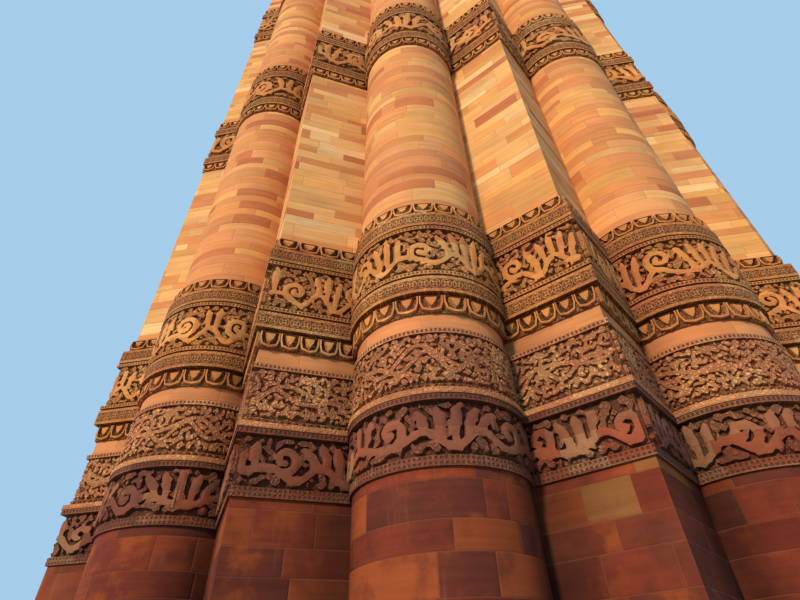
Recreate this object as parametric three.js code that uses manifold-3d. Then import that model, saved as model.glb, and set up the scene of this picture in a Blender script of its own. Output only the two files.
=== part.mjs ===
// A tapering five-storey minaret of sandstone and marble, as a half-size scale model.
// Lengths are in millimetres on the full-size tower; the root group brings them down to the model.
// The origin is at the middle of the underside, +Z is up, and a round flute faces -Y.
// The entrance and the gallery doors are on the far side, facing +Y.

import * as THREE from 'three';
import { mergeVertices } from 'three/addons/utils/BufferGeometryUtils.js';
import Module from 'manifold-3d';

const wasm = await Module();
wasm.setup();

// Whole tower
const MODEL_SCALE = 0.5;
const OPEN_JOINT = 0.7; // width of the open joint between neighbouring pieces
const PLINTH_STEPS = [{ radius: 7800, top: 400 }, { radius: 7450, top: 800 }];
const PLINTH_SIDES = 48;

// Fluted plan, as fractions of the radius at the flute tips
const FLUTES = 24;
const FLUTE_PITCH = (2 * Math.PI) / FLUTES;
const VALLEY_RADIUS = 0.895;
const ROUND_CENTRE_RADIUS = 0.8795;
const ROUND_HALF_ANGLE = THREE.MathUtils.degToRad(7.635); // a round flute among angular ones
const PLAIN_SIDES = 36;

// Each storey runs from its floor to the deck above; tip radii are at those two levels.
// The wall stops where the corbels under the deck start, and well is the inner radius of the
// wall as a fraction of the tip radius.
const BASE_RADIUS = 7160;
const BASE_TAPER = 0.009e-3; // fraction of the base radius lost in each millimetre of height
const firstRadius = (z) => BASE_RADIUS * (1 - BASE_TAPER * z);
const STOREYS = [
  { name: 'first_storey', plan: 'alternate', floor: 800, deck: 28960, corbel: 1760, well: 0.6,
    low: firstRadius(800), high: firstRadius(28960), deckReach: 1000 },
  { name: 'second_storey', plan: 'round', floor: 28960, deck: 44420, corbel: 1420, well: 0.6,
    low: 4750, high: 3800, deckReach: 850 },
  { name: 'third_storey', plan: 'angular', floor: 44420, deck: 56850, corbel: 1150, well: 0.62,
    low: 3500, high: 2800, deckReach: 750 },
  { name: 'fourth_storey', plan: 'plain', floor: 56850, deck: 64570, corbel: 870, well: 0.68,
    low: 2600, high: 2200, deckReach: 650 },
  { name: 'fifth_storey', plan: 'plain', floor: 64570, deck: 71500, corbel: 600, well: 0.68,
    low: 2000, high: 1450, deckReach: 350 },
];
const DECK_THICKNESS = 300;
const PARAPET = { height: 1000, thickness: 220, setback: 100 };

// Arched passages through the wall, from the floor to the point of the arch
const ENTRANCE = { halfWidth: 500, spring: 1450 };
const ENTRANCE_HEAD = 3180; // level of the top of the entrance surround
const ENTRANCE_FLUTE = 12;
const GALLERY_DOOR = { halfWidth: 375, spring: 1350 };
const ARCH_OFFSET = 0.5; // how far each arch centre lies past the middle, in half widths
const ARCH_STEPS = 3; // straight stretches in each side of an arch

// Straight stretches round the well behind one first-storey wall, and behind a quarter
const WELL_STEPS = { pair: 2, quarter: 6 };

// The corbels under a deck: rise and reach as fractions of the storey's, and how far the fluted
// outline has become a circle there
const CORBEL_ROWS = [
  { rise: 0, reach: 0, roundness: 0 },
  { rise: 0.35, reach: 0.4, roundness: 0.35 },
  { rise: 0.7, reach: 0.9, roundness: 0.8 },
  { rise: 0.82, reach: 1, roundness: 1 },
  { rise: 1, reach: 1, roundness: 1 },
];

// Carved courses: levels and how far each face stands out from the wall
const FIRST_BANDS = {
  lowest_bands: [[3180, 30], [3833, 30], [3900, 45], [4579, 30]],
  great_band: [[4773, 25], [4990, 110], [5236, 110], [5300, 96], [5960, 96], [6070, 110],
    [6270, 115], [6437, 70]],
  middle_band: [[10810, 40], [12545, 40]],
  upper_band: [[16622, 40], [18551, 40]],
  high_band: [[22600, 45], [24400, 45]],
  crowning_band: [[26100, 40], [27000, 60]],
};
const UPPER_BANDS = [
  { storey: 1, name: 'second_storey_lower_band', levels: [33600, 34800], out: 40 },
  { storey: 1, name: 'second_storey_upper_band', levels: [39400, 40500], out: 40 },
  { storey: 2, name: 'third_storey_lower_band', levels: [48500, 49500], out: 35 },
  { storey: 2, name: 'third_storey_upper_band', levels: [52700, 53600], out: 35 },
  { storey: 3, name: 'fourth_storey_band', levels: [59900, 61000], out: 30 },
];

const stone = (color, roughness) => new THREE.MeshStandardMaterial({ color, roughness, metalness: 0 });
const FINISH = {
  plinth: stone(0x8a7a6c, 0.9),
  wall: stone(0xb5714a, 0.88),
  carved: stone(0xa85f3d, 0.85),
  gallery: stone(0xa8684a, 0.88),
  marble: stone(0xd8cfc0, 0.6),
};

const tower = new THREE.Group();
tower.name = 'minaret_scale_model';
tower.scale.setScalar(MODEL_SCALE);

function place(name, geometry, material) {
  const mesh = new THREE.Mesh(geometry, material);
  mesh.name = name;
  tower.add(mesh);
}

// Outlines: one turn of [angle from -Y towards +X, fraction of the tip radius]

function roundFlute(centre, halfAngle, steps) {
  const side = VALLEY_RADIUS * Math.sin(halfAngle);
  const forward = VALLEY_RADIUS * Math.cos(halfAngle) - ROUND_CENTRE_RADIUS;
  const radius = Math.hypot(side, forward);
  const sweep = Math.atan2(side, forward);
  return Array.from({ length: steps }, (_, i) => {
    const turn = sweep * (2 * i / steps - 1);
    const x = radius * Math.sin(turn);
    const y = ROUND_CENTRE_RADIUS + radius * Math.cos(turn);
    return [centre + Math.atan2(x, y), Math.hypot(x, y)];
  });
}

function angularFlute(centre, halfAngle) {
  return [[centre - halfAngle, VALLEY_RADIUS], [centre, 1]];
}

const FLUTE_ANGLES = Array.from({ length: FLUTES }, (_, k) => k * FLUTE_PITCH);
const ROUND_STEPS = { alternate: 5, round: 3 };
const QUARTERS = ['right', 'back', 'left', 'front'];
const DOOR_QUARTER = 'back';
const FIRST_QUARTER_FLUTE = 4; // the right-hand quarter starts in the valley before this flute
const OUTLINES = {
  alternate: FLUTE_ANGLES.flatMap((a, k) => (k % 2 === 0
    ? roundFlute(a, ROUND_HALF_ANGLE, ROUND_STEPS.alternate)
    : angularFlute(a, FLUTE_PITCH - ROUND_HALF_ANGLE))),
  round: FLUTE_ANGLES.flatMap((a) => roundFlute(a, FLUTE_PITCH / 2, ROUND_STEPS.round)),
  angular: FLUTE_ANGLES.flatMap((a) => angularFlute(a, FLUTE_PITCH / 2)),
  plain: Array.from({ length: PLAIN_SIDES }, (_, i) => [(2 * Math.PI * i) / PLAIN_SIDES, 1]),
};

function polar(angle, radius, z) {
  return new THREE.Vector3(radius * Math.sin(angle), -radius * Math.cos(angle), z);
}

// One level of a storey: its outline at that radius, drawn towards a circle by roundness.
function level(outline, radius, z, roundness = 0) {
  return outline.map(([angle, r]) => polar(angle, radius * (r + (1 - r) * roundness), z));
}

// Moves a closed level outwards by the same distance everywhere, with mitred corners.
function offset(points, distance) {
  const normals = points.map((p, i) => {
    const next = points[(i + 1) % points.length];
    return new THREE.Vector2(next.y - p.y, p.x - next.x).normalize();
  });
  return points.map((p, i) => {
    const before = normals[(i + points.length - 1) % points.length];
    const after = normals[i];
    const reach = distance / (1 + before.dot(after));
    return new THREE.Vector3(p.x + reach * (before.x + after.x), p.y + reach * (before.y + after.y), p.z);
  });
}

// Solids from loops of points. Each loop has the same count and turns the same way, and the
// skin runs from one loop to the next; the ends close on a middle point, on each other, or flat.

function skin(loops, closing) {
  const count = loops[0].length;
  const points = loops.flat();
  const faces = [];
  const joined = closing.onItself ? loops.length : loops.length - 1;
  for (let i = 0; i < joined; i++) {
    const here = i * count;
    const there = ((i + 1) % loops.length) * count;
    for (let j = 0; j < count; j++) {
      const k = (j + 1) % count;
      faces.push(here + j, here + k, there + k, here + j, there + k, there + j);
    }
  }
  const last = (loops.length - 1) * count;
  if (closing.middles) {
    const [first, end] = closing.middles.map((p) => points.push(p) - 1);
    for (let j = 0; j < count; j++) {
      const k = (j + 1) % count;
      faces.push(first, k, j, end, last + j, last + k);
    }
  }
  if (closing.flat) {
    const outline = loops[0].map((p) => new THREE.Vector2(p.x, p.y));
    for (const [a, b, c] of THREE.ShapeUtils.triangulateShape(outline, [])) {
      faces.push(a, c, b, last + a, last + b, last + c);
    }
  }
  const geometry = new THREE.BufferGeometry();
  geometry.setAttribute('position', new THREE.Float32BufferAttribute(points.flatMap((p) => [p.x, p.y, p.z]), 3));
  geometry.setIndex(faces);
  return geometry;
}

function axisPoint(z) {
  return new THREE.Vector3(0, 0, z);
}

// Boolean work

function solid(geometry) {
  const bare = geometry.clone();
  bare.deleteAttribute('normal');
  bare.deleteAttribute('uv');
  const merged = mergeVertices(bare);
  return new wasm.Manifold(new wasm.Mesh({
    numProp: 3,
    vertProperties: new Float32Array(merged.attributes.position.array),
    triVerts: new Uint32Array(merged.index.array),
  }));
}

function surfaceOf(body) {
  const { vertProperties, triVerts } = body.getMesh();
  const surface = new THREE.BufferGeometry();
  surface.setAttribute('position', new THREE.BufferAttribute(new Float32Array(vertProperties), 3));
  surface.setIndex(new THREE.BufferAttribute(new Uint32Array(triVerts), 1));
  return surface;
}

function subtract(geometry, cutter) {
  return surfaceOf(solid(geometry).subtract(solid(cutter)));
}

// The part of a solid on the +X side of the axis for a hand of 1, or on the -X side for -1.
function halved(geometry, hand) {
  return surfaceOf(solid(geometry).trimByPlane([hand, 0, 0], 0));
}

// A pointed-arch passage that runs along +Y from the well out past the wall.
function passage({ halfWidth, spring }, sill, outside) {
  const offCentre = halfWidth * ARCH_OFFSET;
  const radius = halfWidth + offCentre;
  const rise = Math.acos(offCentre / radius);
  const arch = new THREE.Shape();
  arch.moveTo(-halfWidth, 0);
  arch.lineTo(halfWidth, 0);
  arch.lineTo(halfWidth, spring);
  arch.absarc(-offCentre, spring, radius, 0, rise, false);
  arch.absarc(offCentre, spring, radius, Math.PI - rise, Math.PI, false);
  const geometry = new THREE.ExtrudeGeometry(arch, {
    depth: outside, bevelEnabled: false, curveSegments: ARCH_STEPS,
  });
  geometry.rotateX(Math.PI / 2);
  return geometry.translate(0, outside, sill);
}

// Storey walls

function tipRadius(storey, z) {
  return THREE.MathUtils.mapLinear(z, storey.floor, storey.deck, storey.low, storey.high);
}

const wallTop = (storey) => storey.deck - storey.corbel;

// A stretch of wall between two angles: outline points outside, the well's curve inside, and
// both ends drawn in by half an open joint.
function wallStretch(storey, from, count, innerSteps, bottom, top) {
  const outline = OUTLINES[storey.plan];
  const outer = Array.from({ length: count + 1 }, (_, i) => {
    const [angle, r] = outline[(from + i) % outline.length];
    return [angle + (from + i >= outline.length ? 2 * Math.PI : 0), r];
  });
  const start = outer[0][0];
  const end = outer[count][0];
  const inner = Array.from({ length: innerSteps + 1 }, (_, i) => (
    [THREE.MathUtils.lerp(end, start, i / innerSteps), storey.well]));
  const drawnIn = ([angle, r], radius) => {
    const half = OPEN_JOINT / (2 * r * radius);
    return THREE.MathUtils.clamp(angle, start + half, end - half);
  };
  const loops = [bottom, top].map((z) => {
    const radius = tipRadius(storey, z);
    return [...outer, ...inner].map((p) => polar(drawnIn(p, radius), p[1] * radius, z));
  });
  return skin(loops, { flat: true });
}

// The room that the entrance surround takes out of its wall: a wedge over the round flute from
// deep in the well out past the flute tips, which starts in the open a flute before the wall.
function entranceRoom(storey, start, end) {
  const inside = storey.well * BASE_RADIUS / 2;
  const outside = 2 * BASE_RADIUS;
  const joint = OPEN_JOINT / (2 * storey.well * storey.high);
  const [from, to] = [start - FLUTE_PITCH, end + joint];
  const wedge = [[from, inside], [from, outside], [to, outside], [to, inside]];
  const levels = [PLINTH_STEPS[0].top, ENTRANCE_HEAD + OPEN_JOINT];
  return skin(levels.map((z) => wedge.map(([angle, radius]) => polar(angle, radius, z))), { flat: true });
}

function firstStoreyWalls(storey) {
  const perPair = ROUND_STEPS.alternate + 2;
  for (let pair = 0; pair < FLUTES / 2; pair++) {
    const name = `${storey.name}_wall_${String(pair + 1).padStart(2, '0')}`;
    const from = pair * perPair;
    const wall = wallStretch(storey, from, perPair, WELL_STEPS.pair, storey.floor, wallTop(storey));
    if (pair * 2 !== ENTRANCE_FLUTE) {
      place(name, wall, FINISH.wall);
      continue;
    }
    const start = OUTLINES.alternate[from][0];
    const end = OUTLINES.alternate[from + ROUND_STEPS.alternate][0];
    place(name, subtract(wall, entranceRoom(storey, start, end)), FINISH.wall);
    const surround = wallStretch(storey, from, ROUND_STEPS.alternate, WELL_STEPS.pair, storey.floor,
      ENTRANCE_HEAD);
    const way = passage(ENTRANCE, storey.floor, 2 * BASE_RADIUS);
    place('entrance_surround', subtract(surround, way), FINISH.carved);
  }
}

// The fluted upper storeys stand in four quarters that part in the valleys between flutes. The
// back quarter is two jambs up to the springing of its door, and the rest bears on them.
function quarteredWalls(storey) {
  const outline = OUTLINES[storey.plan];
  const quarter = outline.length / QUARTERS.length;
  const firstValley = FIRST_QUARTER_FLUTE * (outline.length / FLUTES);
  QUARTERS.forEach((side, i) => {
    const from = (firstValley + i * quarter) % outline.length;
    const stretch = (bottom, top) => wallStretch(storey, from, quarter, WELL_STEPS.quarter, bottom, top);
    const name = `${storey.name}_wall_${side}`;
    if (side !== DOOR_QUARTER) {
      place(name, stretch(storey.floor, wallTop(storey)), FINISH.wall);
      return;
    }
    const way = passage(GALLERY_DOOR, storey.floor, 2 * storey.low);
    const springing = storey.floor + GALLERY_DOOR.spring;
    const jambs = subtract(stretch(storey.floor, springing - OPEN_JOINT), way);
    place(`${storey.name}_jamb_right`, halved(jambs, 1), FINISH.wall);
    place(`${storey.name}_jamb_left`, halved(jambs, -1), FINISH.wall);
    place(name, subtract(stretch(springing, wallTop(storey)), way), FINISH.wall);
  });
}

// A plain round storey is one drum with its well and its door cut through it.
function drumWall(storey) {
  const outline = OUTLINES.plain;
  const outside = [storey.floor, wallTop(storey)].map((z) => level(outline, tipRadius(storey, z), z));
  const inside = [wallTop(storey), storey.floor].map((z) => level(outline, storey.well * tipRadius(storey, z), z));
  const drum = skin([...outside, ...inside], { onItself: true });
  place(`${storey.name}_wall`, subtract(drum, passage(GALLERY_DOOR, storey.floor, 2 * storey.low)), FINISH.marble);
}

// Carved courses wrap the wall and follow every flute.
function bandRing(storey, rows) {
  const outline = OUTLINES[storey.plan];
  const at = ([z, out]) => offset(level(outline, tipRadius(storey, z), z), out);
  const outside = rows.map(at);
  const inside = [rows.at(-1)[0], rows[0][0]].map((z) => at([z, OPEN_JOINT]));
  return skin([...outside, ...inside], { onItself: true });
}

// A gallery: corbels that grow from the flutes into a round deck, with the floor over the well.
function galleryDeck(storey) {
  const outline = OUTLINES[storey.plan];
  const foot = wallTop(storey);
  const radius = tipRadius(storey, foot);
  const under = storey.deck - DECK_THICKNESS;
  const well = storey.well * radius;
  const row = ({ rise, reach, roundness }) => (
    level(outline, radius + reach * storey.deckReach, foot + rise * storey.corbel, roundness));
  const inside = [under, foot].map((z) => level(outline, well, z, 1));
  const outside = CORBEL_ROWS.map(row);
  return skin([...inside, ...outside], { middles: [axisPoint(under), axisPoint(storey.deck)] });
}

function parapet(storey) {
  const radius = tipRadius(storey, wallTop(storey)) + storey.deckReach - PARAPET.setback;
  const top = storey.deck + PARAPET.height;
  const inner = radius - PARAPET.thickness;
  return skin([
    level(OUTLINES.plain, radius, storey.deck),
    level(OUTLINES.plain, radius, top),
    level(OUTLINES.plain, inner, top),
    level(OUTLINES.plain, inner, storey.deck),
  ], { onItself: true });
}

function plinth() {
  const profile = [new THREE.Vector2(0, 0)];
  let bottom = 0;
  for (const step of PLINTH_STEPS) {
    profile.push(new THREE.Vector2(step.radius, bottom), new THREE.Vector2(step.radius, step.top));
    bottom = step.top;
  }
  profile.push(new THREE.Vector2(0, bottom));
  return new THREE.LatheGeometry(profile, PLINTH_SIDES).rotateX(Math.PI / 2);
}

// Assembly, from the ground up

const [first, second, third, fourth, fifth] = STOREYS;
const ordinals = ['first', 'second', 'third', 'fourth'];

place('plinth', plinth(), FINISH.plinth);
firstStoreyWalls(first);
quarteredWalls(second);
quarteredWalls(third);
drumWall(fourth);
drumWall(fifth);
for (const [name, rows] of Object.entries(FIRST_BANDS)) {
  place(name, bandRing(first, rows), FINISH.carved);
}
for (const { storey, name, levels, out } of UPPER_BANDS) {
  place(name, bandRing(STOREYS[storey], levels.map((z) => [z, out])), FINISH.carved);
}
ordinals.forEach((ordinal, i) => {
  place(`${ordinal}_gallery`, galleryDeck(STOREYS[i]), FINISH.gallery);
  place(`${ordinal}_gallery_parapet`, parapet(STOREYS[i]), FINISH.gallery);
});
place('roof', galleryDeck(fifth), FINISH.gallery);
place('roof_parapet', parapet(fifth), FINISH.gallery);

export default tower;
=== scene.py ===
"""Looks of a half-size minaret: fluted ashlar, carved bands, corbelled galleries and marble drums.

Lengths are metres on the full-size tower, and MODEL_SCALE brings them down to the model.
The wall is described by facets: a round flute is one facet and each face of an angular
flute is one facet. A place on the wall is (across the facet, up, out of the wall).
"""

import logging
import math
from dataclasses import dataclass, field
from enum import Enum
from typing import Any, Iterable, Sequence, Union

import bpy
import numpy as np
from mathutils import Matrix, Vector


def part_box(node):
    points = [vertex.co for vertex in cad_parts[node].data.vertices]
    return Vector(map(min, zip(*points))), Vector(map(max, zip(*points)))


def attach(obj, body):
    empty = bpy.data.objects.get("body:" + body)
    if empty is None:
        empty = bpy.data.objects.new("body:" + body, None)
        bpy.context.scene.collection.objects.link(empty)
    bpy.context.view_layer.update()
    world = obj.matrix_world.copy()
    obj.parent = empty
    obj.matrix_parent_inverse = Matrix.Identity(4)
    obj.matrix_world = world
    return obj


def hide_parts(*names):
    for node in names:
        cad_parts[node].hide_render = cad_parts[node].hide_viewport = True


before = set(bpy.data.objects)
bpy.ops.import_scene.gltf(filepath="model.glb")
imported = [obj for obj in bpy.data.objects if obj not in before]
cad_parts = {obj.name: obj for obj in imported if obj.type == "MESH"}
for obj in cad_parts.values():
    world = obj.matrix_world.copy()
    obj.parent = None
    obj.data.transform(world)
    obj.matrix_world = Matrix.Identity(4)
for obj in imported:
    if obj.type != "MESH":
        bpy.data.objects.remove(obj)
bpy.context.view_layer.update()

Array = np.ndarray
LOG = logging.getLogger("minaret")

MODEL_SCALE = 0.5
BODY = "root"
FLUTES = 24
FLUTE_PITCH = 2 * math.pi / FLUTES
VALLEY_RADIUS = 0.895
ROUND_CENTRE_RADIUS = 0.8795
ROUND_HALF_ANGLE = math.radians(7.635)
FOOT_RADIUS = 7.16
FOOT_TAPER = 0.009
SMOOTH_ANGLE = math.radians(24)
DOOR_FLUTE = 12
SUNK = 0.006
BARE = 0.5


def lowest(node: str) -> float:
    """Level of a node's underside on the full-size tower, in metres."""
    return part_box(node)[0][2] / MODEL_SCALE


def highest(node: str) -> float:
    """Level of a node's top on the full-size tower, in metres."""
    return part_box(node)[1][2] / MODEL_SCALE


def polar(angle: Array, radius: Array) -> Array:
    """Plan points: radius times (sin angle, -cos angle), so angle 0 is -Y and +X follows."""
    return np.stack([radius * np.sin(angle), -radius * np.cos(angle)], axis=-1)


def azimuth(points: Array) -> Array:
    """Angle of plan points from -Y towards +X, the inverse of polar."""
    return np.arctan2(points[..., 0], -points[..., 1])


def wrapped(angle: Array) -> Array:
    """Angle brought into the turn from -pi to pi."""
    return (angle + np.pi) % (2 * np.pi) - np.pi


def blend(first: Any, last: Any, share: Any) -> Any:
    """A straight blend: first where the share is 0, last where it is 1."""
    return first + (last - first) * share


# Meshes

@dataclass
class Form:
    """A mesh in the making.

    faces holds arrays of corner numbers, one row a face. wall and traits have one row for
    each corner of each face. wall is (metres along, metres up) on the masonry. The first
    trait is 1 on a flat facet of plain wall, or else the mark of a carved course, which
    CarvedBand gives. The second is 0 in the ground to 1 on top of the carving, and BARE
    where nothing is carved.
    """

    points: Array
    faces: list[Array]
    wall: Array
    traits: Array

    @staticmethod
    def on_points(points: Array, faces: list[Array], wall: Array, traits: Array) -> "Form":
        """A form whose layers are given for each point and not for each corner."""
        corners = np.concatenate([part.ravel() for part in faces])
        return Form(points, faces, wall[corners], traits[corners])

    @staticmethod
    def joined(forms: Sequence["Form"]) -> "Form":
        """Joins forms into one.

        Args:
            forms: Forms to put side by side.

        Returns:
            One form that holds all their points and faces.
        """
        points, wall, traits = (np.concatenate([getattr(form, layer) for form in forms])
                                for layer in ("points", "wall", "traits"))
        return Form(points, joined_faces(forms), wall, traits)

    def build(self, name: str, material: bpy.types.Material) -> bpy.types.Object:
        """Makes the Blender object, with smooth shading inside each facet.

        Args:
            name: Name of the piece.
            material: Its finish.

        Returns:
            The object, linked to the scene and at the origin.
        """
        mesh = bpy.data.meshes.new(name)
        corners = np.concatenate([part.ravel() for part in self.faces]).astype(np.int32)
        sizes = np.concatenate([np.full(len(part), part.shape[1]) for part in self.faces])
        starts = np.concatenate([[0], np.cumsum(sizes)[:-1]])
        mesh.vertices.add(len(self.points))
        mesh.loops.add(len(corners))
        mesh.polygons.add(len(sizes))
        mesh.vertices.foreach_set("co", (self.points * MODEL_SCALE).astype(np.float32).ravel())
        mesh.loops.foreach_set("vertex_index", corners)
        mesh.polygons.foreach_set("loop_start", starts.astype(np.int32))
        mesh.polygons.foreach_set("loop_total", sizes.astype(np.int32))
        mesh.update(calc_edges=True)
        for layer, values in (("wall", self.wall), ("traits", self.traits)):
            uv = mesh.uv_layers.new(name=layer)
            uv.data.foreach_set("uv", values.astype(np.float32).ravel())
        mesh.polygons.foreach_set("use_smooth", np.ones(len(sizes), dtype=bool))
        mesh.set_sharp_from_angle(angle=SMOOTH_ANGLE)
        mesh.materials.append(material)
        piece = bpy.data.objects.new(name, mesh)
        bpy.context.scene.collection.objects.link(piece)
        return piece


def joined_faces(parts: Sequence[Any]) -> list[Array]:
    """The faces of several forms or carvings, renumbered for their points in one array."""
    starts = np.cumsum([0] + [len(part.points) for part in parts])
    return [rows + start for part, start in zip(parts, starts) for rows in part.faces]


def band_of_quads(rows: int, columns: int, close_rows: bool, close_columns: bool) -> Array:
    """Corner numbers of the quads of a grid.

    Args:
        rows: Number of rows of points.
        columns: Number of points in a row.
        close_rows: True if the last row joins the first.
        close_columns: True if each row is a closed loop.

    Returns:
        One row of four corners a quad, facing out when rows go up and columns go right.
    """
    here = np.arange(rows if close_rows else rows - 1)
    side = np.arange(columns if close_columns else columns - 1)
    i, j = np.meshgrid(here, side, indexing="ij")
    up, right = (i + 1) % rows, (j + 1) % columns
    quads = np.stack([i * columns + j, i * columns + right, up * columns + right, up * columns + j], -1)
    return quads.reshape(-1, 4)


TREAD_RISE = 0.02


def round_steps(count: int) -> Array:
    """Azimuths of columns that stand evenly round the axis, from -pi.

    Args:
        count: How many columns.

    Returns:
        Their azimuths.
    """
    return np.arange(count) / count * 2 * np.pi - np.pi


def turned_form(angles: Array, rows: Sequence[tuple[Union[Array, float], float]],
                raised: Sequence[Union[Array, float]], closed: bool) -> Form:
    """A form swept once round the axis, from rows of radii.

    Args:
        angles: Azimuths of the columns.
        rows: (radius, or that of each column, level) of each row, outside going up.
        raised: How far each row, or each of its points, counts as standing out, 0 to 1.
        closed: True if the last row joins the first; else the end rows close on the axis.

    Returns:
        The closed form, with its masonry measured at the middle radius of each row. On a
        tread, which rises less than TREAD_RISE, metres up are metres in from the edge.
    """
    count = len(angles)
    points = np.concatenate([np.column_stack([polar(angles, radius), np.full(count, z)])
                             for radius, z in rows])
    step = angles[1] - angles[0]
    faces = band_of_quads(len(rows), count, closed, True)
    mean = np.array([np.mean(radius) for radius, _ in rows])
    i, j = np.divmod(faces[:, 0], count)
    up, beside = (i + 1) % len(rows), (j + 1) % count
    left, right = angles[j], angles[j] + step
    level = np.array([z for _, z in rows])
    tread = np.where(np.abs(level[i] - level[up]) < TREAD_RISE, 1.0, 0.0)
    low, high = level[i] - tread * mean[i], level[up] - tread * mean[up]
    along = np.stack([left, right, right, left], axis=1) * np.maximum(mean[i], mean[up])[:, None]
    ups = np.stack([low, low, high, high], axis=1)
    standing = np.array([np.broadcast_to(value, count) for value in raised], dtype=float)
    marks = np.stack([standing[i, j], standing[i, beside], standing[up, beside], standing[up, j]],
                     axis=1)
    parts, walls = [faces], [np.column_stack([along.ravel(), ups.ravel()])]
    marks = [np.column_stack([np.zeros(marks.size), marks.ravel()])]
    if not closed:
        for row, flip in ((0, True), (len(rows) - 1, False)):
            pole = len(points)
            points = np.vstack([points, [0.0, 0.0, rows[row][1]]])
            ring_points = row * count + np.arange(count)
            following = row * count + (np.arange(count) + 1) % count
            fan = np.stack([following, ring_points, np.full(count, pole)], -1) if flip else \
                np.stack([ring_points, following, np.full(count, pole)], -1)
            plan = points[fan.ravel()]
            parts.append(fan)
            walls.append(plan[:, :2])
            marks.append(np.column_stack([np.zeros(len(plan)), np.full(len(plan), standing[row, 0])]))
    return Form(points, parts, np.concatenate(walls), np.concatenate(marks))


def finish_piece(piece: bpy.types.Object, nodes: Iterable[str] = ()) -> None:
    """Puts a piece on the tower's body, hides the CAD nodes that it replaces and logs its triangles.

    Args:
        piece: The finished object.
        nodes: The CAD nodes that it replaces.
    """
    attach(piece, BODY)
    if nodes:
        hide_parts(*nodes)
    triangles = sum(len(p.vertices) - 2 for p in piece.data.polygons)
    LOG.info("%s: %d triangles", piece.name, triangles)


# The plan of the wall

class Plan(Enum):
    """How a storey's wall is fluted."""

    ALTERNATE = "round and angular flutes in turn"
    ROUND = "round flutes"
    ANGULAR = "angular flutes"
    PLAIN = "no flutes"


@dataclass(frozen=True)
class Facet:
    """One smooth stretch of the wall on a tower whose flute tips are at radius 1.

    A curved facet is an arc about centre; a flat one runs straight from start to end.
    hand says on which side of the flute a flat facet lies: -1 left, 1 right, 0 for an arc.
    """

    flute: int
    middle: float
    start: Array
    end: Array
    centre: Array
    bend: float
    hand: int

    @property
    def curved(self) -> bool:
        """True for an arc."""
        return self.hand == 0

    @property
    def normal(self) -> Array:
        """Outward normal of a flat facet: its direction turned a quarter to the right."""
        way = (self.end - self.start) / np.linalg.norm(self.end - self.start)
        return np.array([way[1], -way[0]])


def arc_facet(flute: int, middle: float, half: float, centre_radius: float,
              edge_radius: float) -> Facet:
    """A curved facet between two edges.

    Args:
        flute: Number of the flute.
        middle: Angle of its middle.
        half: Half its angle, seen from the tower's axis.
        centre_radius: How far its own centre lies from the axis.
        edge_radius: How far its edges lie from the axis.

    Returns:
        The facet.
    """
    start, end = polar(np.array([middle - half, middle + half]), np.array([edge_radius] * 2))
    centre = polar(np.array(middle), np.array(centre_radius))
    return Facet(flute, middle, start, end, centre, float(np.linalg.norm(start - centre)), 0)


def angular_facets(flute: int, middle: float, half: float) -> list[Facet]:
    """The two flat faces of an angular flute, left then right."""
    valley, tip, far = polar(np.array([middle - half, middle, middle + half]),
                             np.array([VALLEY_RADIUS, 1.0, VALLEY_RADIUS]))
    nothing = np.zeros(2)
    return [Facet(flute, middle, valley, tip, nothing, 0.0, -1),
            Facet(flute, middle, tip, far, nothing, 0.0, 1)]


def facets_of(plan: Plan) -> list[Facet]:
    """All the facets of a plan, once round from the flute that faces -Y."""
    found: list[Facet] = []
    for flute in range(FLUTES):
        middle, half = flute * FLUTE_PITCH, FLUTE_PITCH / 2
        if plan is Plan.PLAIN:
            found.append(arc_facet(flute, middle, half, 0.0, 1.0))
        elif plan is Plan.ROUND or (plan is Plan.ALTERNATE and flute % 2 == 0):
            half = ROUND_HALF_ANGLE if plan is Plan.ALTERNATE else half
            found.append(arc_facet(flute, middle, half, ROUND_CENTRE_RADIUS, VALLEY_RADIUS))
        else:
            half = FLUTE_PITCH - ROUND_HALF_ANGLE if plan is Plan.ALTERNATE else half
            found.extend(angular_facets(flute, middle, half))
    return found


def line_meets_arc(line: Facet, arc: Facet, edge: Array, radius: float, out: float) -> Array:
    """Where a flat facet meets an arc once both are moved out.

    The line is edge + normal * out along its direction, the circle has the arc's centre
    and bend * radius + out, and the crossing nearest to the edge is taken.

    Args:
        line: The flat facet.
        arc: The curved facet.
        edge: Their shared edge at tip radius 1.
        radius: Tip radius.
        out: How far both are moved out.

    Returns:
        The plan point of the crossing.
    """
    way = np.array([-line.normal[1], line.normal[0]])
    foot = edge * radius + line.normal * out
    gap = foot - arc.centre * radius
    b = way @ gap
    c = gap @ gap - (arc.bend * radius + out) ** 2
    root = math.sqrt(max(b * b - c, 0.0))
    return foot + way * (-b + math.copysign(root, b))


def corner(before: Facet, after: Facet, radius: float, out: float) -> Array:
    """Plan point where two neighbouring facets meet once both are moved out."""
    edge = after.start
    if before.curved and after.curved:
        way = edge / np.linalg.norm(edge)
        centre = after.centre * radius
        b = way @ centre
        reach = (after.bend * radius + out) ** 2 - centre @ centre
        return way * (b + math.sqrt(max(b * b + reach, 0.0)))
    if before.curved:
        return line_meets_arc(after, before, edge, radius, out)
    if after.curved:
        return line_meets_arc(before, after, edge, radius, out)
    both = before.normal + after.normal
    return edge * radius + both * out / (1 + before.normal @ after.normal)


@dataclass(frozen=True)
class Level:
    """A height on the wall: tip radius there, and how far the face stands out of the wall."""

    z: float
    radius: float
    out: float = 0.0


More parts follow.
